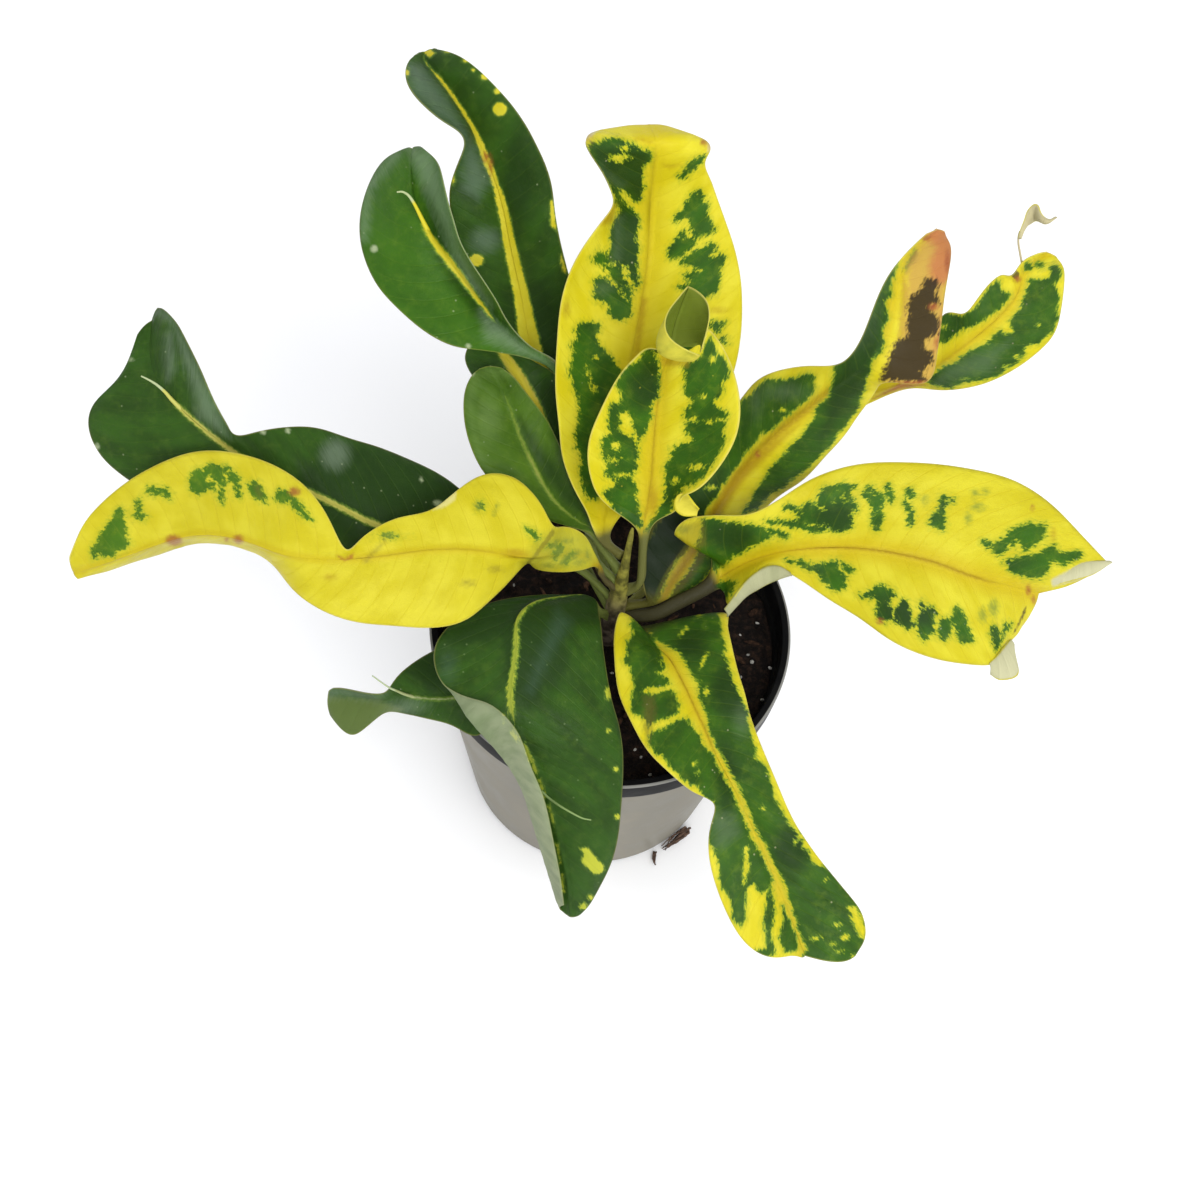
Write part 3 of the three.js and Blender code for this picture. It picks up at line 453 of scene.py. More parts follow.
def tube(path, radii, sides):
    """Vertices and faces of a closed round tube along a sampled path."""
    tangents = unit(np.gradient(path, axis=0))
    helper = np.array((0.0, 0.0, 1.0)) if abs(tangents[0][2]) < 0.9 else np.array((1.0, 0.0, 0.0))
    normal = unit(np.cross(tangents[0], helper))
    angles = np.linspace(0, 2 * math.pi, sides, endpoint=False)
    rings = []
    for place, tangent, radius in zip(path, tangents, radii):
        normal = unit(normal - tangent * (normal @ tangent))
        side = np.cross(tangent, normal)
        ring = np.outer(np.cos(angles), normal) + np.outer(np.sin(angles), side)
        rings.append(place + radius * ring)
    return np.vstack(rings), skin_faces(len(path), sides)


def make_piece(name, vertices, faces, slot, values=None):
    """A mesh object that rides on the plant's one body, with named values on its vertices."""
    mesh = bpy.data.meshes.new(name)
    mesh.from_pydata([tuple(v) for v in vertices], [], faces)
    mesh.update()
    mesh.shade_smooth()
    for key, numbers in (values or {}).items():
        layer = mesh.attributes.new(key, "FLOAT", "POINT")
        layer.data.foreach_set("value", np.asarray(numbers, np.float32).ravel())
    piece = bpy.data.objects.new(name, mesh)
    bpy.context.scene.collection.objects.link(piece)
    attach(piece, "root")
    return piece


# ---- Leaf shapes ----
def stem_centre(height):
    rise = max(0.0, (height - SOIL_TOP) / (STEM_TOP - SOIL_TOP))
    return np.array((STEM_LEAN[0] * rise, STEM_LEAN[1] * rise * rise, height))


def stem_radius(height):
    part = (height - STEM_BOTTOM) / (STEM_TOP - STEM_BOTTOM)
    return STEM_RADIUS_BOTTOM + (STEM_RADIUS_TOP - STEM_RADIUS_BOTTOM) * part


def stalk_line(leaf):
    """The stalk's centre points, from just inside the stem's bark."""
    points = at(leaf["stalk"])
    centre = stem_centre(leaf["node"] * MM)
    outward = unit((points[0] - centre) * (1, 1, 0))
    start = centre + outward * STALK_START * stem_radius(leaf["node"] * MM)
    return np.vstack([start, points])


def half_blade(rib, fold, margin, v, bulge):
    """Rows of points from the rib (v = 0) to the margin (v = 1), over the fold if there is one."""
    v = v[None, :, None]
    rib, margin = rib[:, None], margin[:, None]
    if fold is not None:
        near, middle, far = (1 - v) * (1 - 2 * v), 4 * v * (1 - v), v * (2 * v - 1)
        return rib * near + fold[:, None] * middle + margin * far
    rise = 4 * v * (1 - v) * CAMBER * np.linalg.norm(margin - rib, axis=-1, keepdims=True)
    return rib + (margin - rib) * v + bulge[:, None] * rise


def middle_surface(leaf, stalk_radius):
    """The leaf's middle surface in rows, with each row's place in rib points and how much of a blade
    it is: 0 on the stalk and 1 on the blade."""
    stalk = stalk_line(leaf)
    across = unit(at(leaf["right"][:1])[0] - at(leaf["left"][:1])[0])
    segments = len(stalk) + len(leaf["rib"]) - 1
    spread = SMOOTHING * LEAF_STATIONS / segments

    def full(key, side):
        if key not in leaf:
            return None
        foot = stalk + across * side * stalk_radius
        return evened(rail(np.vstack([foot, at(leaf[key])]), LEAF_STATIONS), spread)

    left, rib, right = full("left", -1), full("rib", 0), full("right", 1)
    bulge = unit(np.cross(right - left, np.gradient(rib, axis=0)))
    v = np.linspace(0, 1, HALF_BLADE_STEPS + 1) ** RIB_CROWDING
    left_half = half_blade(rib, full("left_fold", -0.5), left, v, bulge)
    right_half = half_blade(rib, full("right_fold", 0.5), right, v, bulge)
    grid = np.concatenate([left_half[:, :0:-1], right_half], axis=1)
    part = np.linspace(0, 1, LEAF_STATIONS + 1)
    row = part * segments - len(stalk)
    blade_start = len(stalk) / segments
    blade = smoothstep(part, blade_start - FLATTEN_BEFORE, blade_start + FLATTEN_AFTER)
    return bulged_tip(grid, part, leaf.get("tip_bulge", TIP_BULGE)), row, blade


def bulged_tip(grid, part, bulge):
    """The grid with its end rounded: the last rows are moved forward, but not at the margins."""
    middle = grid.shape[1] // 2
    forward = unit(grid[-1, middle] - grid[-TIP_ROWS, middle])
    near_end = smoothstep(part, 0.9, 1)[:, None] ** 2
    v = np.abs(np.linspace(-1, 1, grid.shape[1])) ** RIB_CROWDING
    half_widths = np.linalg.norm(grid[-1] - grid[-1, middle], axis=-1)
    own = np.where(np.arange(len(v)) < middle, half_widths[0], half_widths[-1])
    reach = own * v + (half_widths[0] + half_widths[-1]) / 2 * (1 - v)
    amount = bulge * near_end * reach * (1 - v) * (1 + 3 * v)
    return grid + amount[..., None] * forward


def surface_normals(grid):
    across = np.gradient(grid, axis=1)
    forward = np.gradient(grid, axis=0)
    return unit(np.cross(across, forward))


def leaf_measures(grid, row):
    """Distances on the leaf, in mm: along the rib, across from it, to the edge, and between veins."""
    middle = grid.shape[1] // 2
    u = along(grid[:, middle])
    start = np.interp(0, row, u)
    u = np.repeat((u - start)[:, None], grid.shape[1], axis=1) / MM
    v = along(np.swapaxes(grid, 0, 1)).T
    v = (v - v[:, middle : middle + 1]) / MM
    to_side = np.where(v < 0, v - v[:, :1], v[:, -1:] - v)
    lengths = along(grid) / MM
    edge = np.minimum(to_side, lengths[-1:] - lengths)
    slanted = u - VEIN_SLANT * np.abs(v) - VEIN_CURVE * v * v
    vein = slanted / VEIN_SPACING + np.where(v < 0, 0.5, 0.0)
    return dict(u=u, v=v, edge=edge, vein=vein)


def thickness(measures, row, blade, stalk_radius, rib_end):
    """Half of the leaf's thickness above and below its middle surface. The rib stops at rib_end."""
    columns = measures["v"].shape[1]
    w = np.abs(np.linspace(-1, 1, columns)) ** RIB_CROWDING
    on_stalk = np.maximum(STALK_EDGE, stalk_radius * np.sqrt(1 - w * w))[None, :]
    length = np.clip(row / row[-1], 0, 1)[:, None]
    rise = RIB_RISE[0] + (RIB_RISE[1] - RIB_RISE[0]) * length
    rise = rise * smoothstep(rib_end - row, -0.4, 0.4)[:, None]
    width = (RIB_WIDTH[0] + (RIB_WIDTH[1] - RIB_WIDTH[0]) * length) / MM
    off = np.abs(measures["v"])
    ridge = rise * np.exp(-((off / width) ** 2))
    groove = GROOVE * np.exp(-(((off - 2.3 * width) / width) ** 2))
    flat = MARGIN_HALF + (BLADE_HALF - MARGIN_HALF) * smoothstep(measures["edge"], 0, 2.5)
    share = blade[:, None]
    upper = on_stalk + (flat + RIB_ABOVE * ridge - groove - on_stalk) * share
    lower = on_stalk + (flat + ridge - on_stalk) * share
    return np.maximum(upper, STALK_EDGE), lower


def relief(measures, blade, seed):
    """How far the middle surface leaves its smooth shape: bulges between veins, and soft waves."""
    u, v, edge = measures["u"], measures["v"], measures["edge"]
    inner = smoothstep(edge, 0, 4) * smoothstep(np.abs(v), 0.5, 4)
    between = np.abs(np.sin(math.pi * measures["vein"])) ** 0.7 - 0.6
    soft = SOFT_WAVE[0] * wobble(u, v, SOFT_WAVE[1], seed) * smoothstep(np.abs(v), 1, 9)
    ruffle = RUFFLE[0] * wobble(u, v, RUFFLE[1], seed + 1) * smoothstep(INNER - edge, 0, INNER)
    return (VEIN_SINK * between * inner + (soft + ruffle * inner) * MM) * blade[:, None]


def horn_parts(leaf, look):
    """The free end of a midrib: vertices, faces and the values that its material reads.

    edge and v hold it clear of the leaf's margin and its midrib.
    """
    line = rail(at(leaf["horn"]), HORN_STEPS)
    part = np.linspace(0, 1, len(line))
    thick, thin = look["horn_radii"]
    vertices, faces = tube(line, (thick + (thin - thick) * part**0.7) * MM, HORN_SIDES)
    pale = np.repeat((part - look["horn_pale"]) * 3 * DEEPEST, HORN_SIDES)
    return vertices, faces, dict(edge=INNER, gold=0.5, v=3, pale=np.clip(pale, -DEEPEST, DEEPEST))


def flap_parts(near, far, under=0.5):
    """A turned-over bit of margin or scrap between two rails: vertices, faces and values."""
    near, far = (rail(at(readings), FLAP_STEPS[0])[:, None] for readings in (near, far))
    v = np.linspace(0, 1, FLAP_STEPS[1] + 1)[None, :, None]
    grid = near + (far - near) * v
    grid = grid + surface_normals(grid) * (4 * v * (1 - v)) * FLAP_BULGE
    half = surface_normals(grid) * MARGIN_HALF
    rings = np.concatenate([grid + half, (grid - half)[:, ::-1]], axis=1)
    faces = skin_faces(len(rings), rings.shape[1])
    # Pale all over, but for a thin line along both of its rails.
    cover = 6 - 8 * (2 * v[0, :, 0] - 1) ** 6
    cover = np.tile(np.concatenate([cover, cover[::-1]]), len(rings))
    values = dict(edge=INNER, v=3, pale=cover, under=under, vein=np.linspace(0, 4, len(cover)))
    return rings.reshape(-1, 3), faces, values


def leaf_values(name, look, grid, row, measures):
    """The values that the leaf's material reads, on the upper side and then the lower side."""
    fields = dict(measures, **leaf_paint(name, grid, row, measures))
    fields["pale"] = fields.get("pale", np.full(grid.shape[:2], -DEEPEST))
    values = {k: np.concatenate([f, f[:, ::-1]], axis=1).ravel() for k, f in fields.items()}
    lower = smoothstep(row, *STALK_END) * np.interp(row, *zip(*look["under_rows"]))
    lower = np.repeat(lower[:, None], grid.shape[1], axis=1)
    values["under"] = np.concatenate([np.zeros(grid.shape[:2]), lower], axis=1).ravel()
    return values


def build_leaf(name, leaf, seed):
    look = LOOKS[name]
    stalk_radius = look["stalk"] * MM
    grid, row, blade = middle_surface(leaf, stalk_radius)
    measures = leaf_measures(grid, row)
    grid = grid + surface_normals(grid) * relief(measures, blade, seed)[..., None]
    normals = surface_normals(grid)
    upper, lower = thickness(measures, row, blade, stalk_radius, leaf.get("horn_row", ALL[1]))
    from_stem = along(grid[:, grid.shape[1] // 2]) / SWELLING_REACH
    swelling = 1 + STALK_SWELLING * np.exp(-(from_stem**2))[:, None]
    top = grid + normals * (upper * swelling)[..., None]
    bottom = grid - normals * (lower * swelling)[..., None]
    rings = np.concatenate([top, bottom[:, ::-1]], axis=1)
    vertices = rings.reshape(-1, 3)
    faces = skin_faces(len(rings), rings.shape[1])
    values = leaf_values(name, look, grid, row, measures)
    extras = [flap_parts(*flap) for flap in look["flaps"]]
    if "horn" in leaf:
        extras.append(horn_parts(leaf, look))
    for more, more_faces, plain in extras:
        vertices, faces = joined(vertices, faces, more, more_faces)
        for key, numbers in values.items():
            start = -DEEPEST if key in TONES or key in ("green", "deep") else 0
            extra = np.broadcast_to(plain.get(key, start), len(more))
            values[key] = np.concatenate([numbers, extra])
    piece = make_piece(name + "_grown", vertices, faces, look["slot"], values)
    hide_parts(name)
    piece.data.materials.append(leaf_material(name, look, seed))


# ---- Leaf colours ----
ALL = (-9, 99)  # rows that take in the whole leaf
STALK_END = (-0.7, 0.25)  # the rows over which a stalk's colour gives way to the blade's
PX = 2.6  # pixels of the view to a mm of leaf
DEEPEST = 14  # the limit of a tone's depth, in pixels inside (above 0) or outside its outline
# The green of deep patches: a darker leaf green that also stands for painted shade in folds and on shaded
# parts.
DEEP_GREEN_AND_SHADE = "1c3a04"
MARGIN_TONE = "eadf78"

# Each tone's colour, the depths between which it sets in, how loose its edge is, and how strong it is.
# The grey tone is a painted sheen, a painted highlight. Ochre, rust, umber and dark are leaf colours,
# but some of their patches are painted shade or a painted shadow line.
TONES = {
    "pale": (None, -1.5, 2.5, 3.0, 0.9),
    "olive": ("8a9a30", -3.5, 4.5, 8.0, 0.85),
    "grey": (None, -8.0, 10.0, 12.0, 0.4),
    "ochre": ("b08c0a", -3.0, 4.0, 4.0, 0.6),
    "brown": ("6b5a28", -4.0, 5.0, 8.0, 0.5),
    "dry": ("cfa24c", -6.0, 8.0, 10.0, 0.85),
    "salmon": ("c97a48", -6.0, 7.0, 10.0, 0.85),
    "umber": ("281f08", -4.5, 1.5, 16.0, 0.95),
    "dark": ("554a14", -1.0, 1.0, 3.0, 0.9),
    "rust": ("a4552a", -2.5, 2.5, 4.0, 0.8),
}


def outline_depth(places, outline):
    """How many pixels inside a closed outline each place is; below 0 outside it."""
    x, y = places[..., 0], places[..., 1]
    nearest = np.full(x.shape, np.inf)
    inside = np.zeros(x.shape, bool)
    for (ax, ay), (bx, by) in zip(outline, outline[1:] + outline[:1]):
        dx, dy = bx - ax, by - ay
        part = np.clip(((x - ax) * dx + (y - ay) * dy) / (dx * dx + dy * dy), 0, 1)
        nearest = np.minimum(nearest, np.hypot(x - ax - part * dx, y - ay - part * dy))
        if dy:
            inside ^= ((ay > y) != (by > y)) & (x < ax + (y - ay) * dx / dy)
    return np.where(inside, nearest, -nearest)


def oval_depth(places, oval):
    """The same for an oval (x, y, half width, half height)."""
    x, y, wide, high = oval
    off = np.hypot((places[..., 0] - x) / wide, (places[..., 1] - y) / high)
    return (1 - off) * min(wide, high)


def patch_depth(places, row, v, shapes, rows, side):
    """How deep each place is in the nearest of several shapes, on some rows and sides of the leaf."""
    depth = np.full(places.shape[:2], -float(DEEPEST))
    for shape in shapes:
        measure = oval_depth if isinstance(shape, tuple) else outline_depth
        depth = np.maximum(depth, measure(places, shape))
    on = ((row >= rows[0]) & (row <= rows[1]))[:, None] & (v * side >= 0)
    return np.where(on, depth, -DEEPEST)


def leaf_paint(name, grid, row, measures):
    """The depth of each tone, how near the midrib is, and how much of a stalk each place is."""
    look = LOOKS[name]
    places, v = seen(grid), measures["v"]
    tones = dict(green=np.full(v.shape, -float(DEEPEST)))
    if look["rib_band"]:
        band = np.interp(row, *zip(*look["rib_band"]))[:, None]
        tones["green"] = (np.abs(v) - band) * PX
    for tone, *limits in look["patches"]:
        depth = patch_depth(places, row, v, *limits)
        if tone == "yellow":
            tones["green"] = np.minimum(tones["green"], -depth)
        else:
            tones[tone] = np.maximum(tones.get(tone, -DEEPEST), depth)
    fields = {tone: np.clip(depth, -DEEPEST, DEEPEST) for tone, depth in tones.items()}
    fields["gold"] = 1 - smoothstep(np.abs(v), 0.3, look["gold"])
    width, share, first, last = look["core"]
    on_rows = smoothstep(row, first - 0.5, first + 0.5) * smoothstep(-row, -last - 1.5, -last)
    fields["core"] = share * on_rows[:, None] * (1 - smoothstep(np.abs(v), 0.1, width))
    petiole = 1 - smoothstep(row, *STALK_END)
    fields["petiole"] = np.repeat(petiole[:, None], v.shape[1], axis=1)
    return fields


# ---- Materials ----
LIGHT = 1.35  # how bright a white surface that faces up shows; the colour codes are as they show


def linear(code, light=LIGHT):
    """The colour that shows as a screen colour such as "d8cf1f" in this light."""
    parts = [int(code[i : i + 2], 16) / 255 for i in (0, 2, 4)]
    parts = [p / 12.92 if p <= 0.04045 else ((p + 0.055) / 1.055) ** 2.4 for p in parts]
    return tuple(p / light for p in parts) + (1.0,)


class Shader:
    """One material's nodes, with short calls for the kinds used here. An input is a value or an output."""

    def __init__(self, name):
        self.material = bpy.data.materials.new(name)
        self.material.use_nodes = True
        self.tree = self.material.node_tree
        self.surface = self.tree.nodes["Principled BSDF"]

    def node(self, kind, inputs, output=0, **settings):
        node = self.tree.nodes.new("ShaderNode" + kind)
        for key, value in settings.items():
            setattr(node, key, value)
        for socket, value in inputs.items():
            self.feed(node.inputs[socket], value)
        return node.outputs[output]

    def feed(self, socket, value):
        if isinstance(value, bpy.types.NodeSocket):
            self.tree.links.new(value, socket)
        else:
            socket.default_value = value

    def value(self, name):
        return self.node("Attribute", {}, "Fac", attribute_name=name)

    def math(self, operation, a, b=0.0, c=0.0):
        return self.node("Math", {0: a, 1: b, 2: c}, operation=operation)

    def loosened(self, value, noise, amount):
        """The value moved up and down by the noise, by up to half the amount."""
        return self.math("MULTIPLY_ADD", self.math("SUBTRACT", noise, 0.5), amount, value)

    def step(self, value, low, high, start=0.0, end=1.0):
        """start below low, end above high, and a smooth change between them."""
        places = {"Value": value, "From Min": low, "From Max": high, "To Min": start, "To Max": end}
        return self.node("MapRange", places, interpolation_type="SMOOTHSTEP")

    def mix(self, factor, a, b):
        return self.node("Mix", {0: factor, 6: a, 7: b}, 2, data_type="RGBA")

    def vector(self, x, y, z):
        return self.node("CombineXYZ", {0: x, 1: y, 2: z})

    def scaled(self, x, across, y, down, z):
        """A place with x and y scaled apart from each other."""
        return self.vector(self.math("MULTIPLY", x, across), self.math("MULTIPLY", y, down), z)

    def noise(self, vector, scale, detail=3.0, roughness=0.5):
        places = {"Vector": vector, "Scale": scale, "Detail": detail, "Roughness": roughness}
        return self.node("TexNoise", places)

    def place(self):
        """The piece's own coordinates, in metres."""
        return self.node("TexCoord", {}, "Object")

    def finish(self, colour, roughness, height=None, depth=0.0, **even):
        """Joins the surface's inputs: even holds values that are the same all over."""
        self.feed(self.surface.inputs["Base Color"], colour)
        self.feed(self.surface.inputs["Roughness"], roughness)
        for socket, value in even.items():
            self.surface.inputs[socket.replace("_", " ")].default_value = value
        if height is not None:
            bump = self.node("Bump", {"Height": height, "Distance": depth, "Strength": 1.0})
            self.feed(self.surface.inputs["Normal"], bump)
        return self.material


def leaf_noises(s, vein, across, seed):
    """Noises that run out along the veins: broad for fingers, fine for the ragged edge of a patch."""
    # Each one's scale from vein to vein and out along a vein, its place and its detail.
    kinds = {
        "broad": (1.5, 0.11, 0.0, 2.0),
        "fine": (4.5, 0.95, 0.0, 3.0),
        "tiny": (14.0, 2.2, 0.0, 2.0),
        "cloud": (0.6, 0.09, 5.0, 3.0),
        "streak": (9.0, 0.25, 9.0, 2.0),
    }
    return {
        kind: s.noise(s.scaled(vein, from_vein, across, outward, seed + place), 1.0, detail)
        for kind, (from_vein, outward, place, detail) in kinds.items()
    }


def leaf_yellow(s, look, noise, line):
    """The yellow parts, with the midrib's own tone, its darker core and the veins."""
    first, second, rib = (linear(code) for code in (*look["yellow"], look["rib"]))
    colour = s.mix(s.step(noise["cloud"], 0.35, 0.65), first, second)
    colour = s.mix(s.math("MULTIPLY", s.value("gold"), 0.75), colour, rib)
    core = s.math("MULTIPLY", s.value("core"), s.step(noise["fine"], 0.25, 0.6, 0.5, 1.0))
    colour = s.mix(core, colour, linear(look["core_tone"]))
    return s.mix(s.math("MULTIPLY", line, 0.22), colour, rib)


def leaf_green(s, look, noise, line, has_deep_and_shade):
    """The green parts: two greens in clouds, mottled, with darker places that are partly painted shade,
    pale dots and light veins.
    """
    light, first, second = (linear(code) for code in look["greens"])
    colour = s.mix(s.step(noise["cloud"], 0.25, 0.75), first, second)
    mottle = s.noise(s.place(), 300.0, 4.0, 0.7)
    colour = s.mix(s.step(mottle, 0.45, 0.75, 0.0, 0.26), colour, light)
    # Deep patches: a darker leaf green, partly painted shade.
    if has_deep_and_shade:
        depth = s.loosened(s.value("deep"), noise["broad"], 10.0)
        colour = s.mix(s.step(depth, -10.0, 8.0, 0.0, 0.8), colour, linear(DEEP_GREEN_AND_SHADE))
    dots = s.node("TexVoronoi", {"Vector": s.place(), "Scale": 220.0})
    colour = s.mix(s.step(dots, 0.03, 0.09, 0.4, 0.0), colour, linear(look["pale"]))
    return s.mix(s.math("MULTIPLY", line, look["vein_light"]), colour, light)


def leaf_pattern(s, look, noise, yellow, green):
    """Green over yellow, with a ragged edge that is light green."""
    light, loose = linear(look["greens"][0]), look["ragged"]
    depth = s.loosened(s.loosened(s.value("green"), noise["broad"], loose), noise["fine"], 1.9 * loose)
    depth = s.loosened(depth, noise["tiny"], 0.8 * loose)
    colour = s.mix(s.step(depth, -7.0, -1.5, 0.0, look["halo"]), yellow, light)
    colour = s.mix(s.step(depth, -2.2, -0.4), colour, light)
    return s.mix(s.step(depth, -0.9, 1.2), colour, green)


def leaf_skin(s, vein, across, line, seed):
    """The height of the skin: a net of cells between sunken veins."""
    grain = s.noise(s.place(), 900.0, 2.0)
    cells = s.scaled(vein, 3.5, s.math("ABSOLUTE", across), 0.7, seed)
    net = s.node("TexVoronoi", {"Vector": cells}, feature="DISTANCE_TO_EDGE")
    height = s.math("MULTIPLY_ADD", grain, 0.25, s.step(net, 0.0, 0.12, 0.0, 0.6))
    return s.math("MULTIPLY_ADD", line, -0.8, height)


def leaf_material(name, look, seed):
    used = {"pale"} | {tone for tone, *_ in look["patches"]}
    s = Shader(name)
    vein, across = s.value("vein"), s.value("v")
    noise = leaf_noises(s, vein, across, seed)
    line = s.math("ABSOLUTE", s.math("SINE", s.math("MULTIPLY", vein, math.pi)))
    line = s.step(line, 0.0, 0.22, 1.0, 0.0)
    yellow = leaf_yellow(s, look, noise, line)
    green = leaf_green(s, look, noise, line, "deep" in used)
    colour = leaf_pattern(s, look, noise, yellow, green)
    # The grey tone's streaky sheen is a painted highlight; some ochre, rust, umber and dark patches paint
    # shade.
    for tone, (code, low, high, loose, share) in TONES.items():
        if tone in used:
            depth = s.loosened(s.value(tone), noise["streak" if tone == "grey" else "fine"], loose)
            colour = s.mix(s.step(depth, low, high, 0.0, share), colour, linear(look.get(tone) or code))
    rim = s.step(s.value("edge"), 0.15, look["edge_width"], look["edge_light"], 0.0)
    colour = s.mix(rim, colour, linear(MARGIN_TONE))
    colour = s.mix(s.value("petiole"), colour, linear(look["stalk_tone"]))
    under, (under_tone, share) = s.value("under"), look["under"]
    uneven = s.step(noise["broad"], 0.3, 0.7, 0.7 * share, share)
    colour = s.mix(s.math("MULTIPLY", under, uneven), colour, linear(under_tone))
    roughness = s.step(noise["broad"], 0.3, 0.7, look["gloss"], look["gloss"] + 0.12)
    roughness = s.math("MULTIPLY_ADD", under, 0.18, roughness)
    height = leaf_skin(s, vein, across, line, seed)
    return s.finish(colour, roughness, height, 0.00008, Specular_IOR_Level=0.18)


# ---- Leaf looks ----
# A patch is a tone and the outlines, in pixels of the view, where it shows. Ovals are (x, y, half
# width, half height). Rows are places along the leaf's rails, and side is -1 for its left half.
# Yellow patches take the green away, and deep patches darken it: darker leaf green and painted shade. A
# leaf with a rib_band is green apart from that band: its half width in mm at some rows.
def patch(tone, *shapes, rows=ALL, side=0):
    return tone, shapes, rows, side


def look(*changes, **more):
    """A leaf's look: a plain yellow leaf's values with the changes in them, in their order.

    gold: how far from the midrib its tone, rib, shows, in mm
    core: the midrib's dark line: half width in mm, strength, first and last row
    ragged, halo: how loose the green's edges are, and how strong the light green is around them
    stalk: the stalk's radius in mm
    greens: the green of veins and edges, and the blade's two greens
    under, under_rows: the lower side's colour and strength, and how much of it shows at some rows
    edge_light, edge_width: how strong the light line at the margin is, and how wide in mm
    horn_pale, horn_radii: where along the horn it turns pale, and its radii in mm
    flaps: pairs of rails, and how much of the lower side's colour shows if it isn't half
    """
    # grey is the colour of the leaves' painted sheen.
    values = dict(
        slot="leaf_yellow", patches=[], rib_band=None, gold=6, core=(1.0, 0.2, 0, 8), ragged=7.0,
        stalk=1.5, yellow=("eee233", "e2d314"), rib="d6bb0e", core_tone="a8850a",
        greens=("86a01c", "3a6c06", "284f02"), stalk_tone="7f7f3a", pale="e2ddb0", grey="6d8560",
        under=("d9d6a0", 0.55), vein_light=0.1, edge_light=0.3, edge_width=0.5, gloss=0.38,
        horn_pale=0.45, horn_radii=(0.8, 0.22), flaps=[], under_rows=[(0, 1)], halo=0.3,
    )
    for change in (*changes, more):
        values.update(change)
    return values


DARK = dict(
    slot="leaf_dark", ragged=2.0, halo=0, gold=2, core=(0.3, 0, 0, 99), yellow=("e2d83c", "d6c81c"),
    rib="d8c828", greens=("5c7c22", "335c0c", "264606"), under=("a9b294", 0.75), edge_light=0.15,
    stalk_tone="6f7a38", pale="b9c79a",
)
MID = dict(DARK, slot="leaf_mid_green", greens=("6d9022", "3f7008", "356306"))
MARGINED = dict(slot="leaf_margined", ragged=5.0, gold=4, greens=("7e9c20", "3a6808", "294e06"))

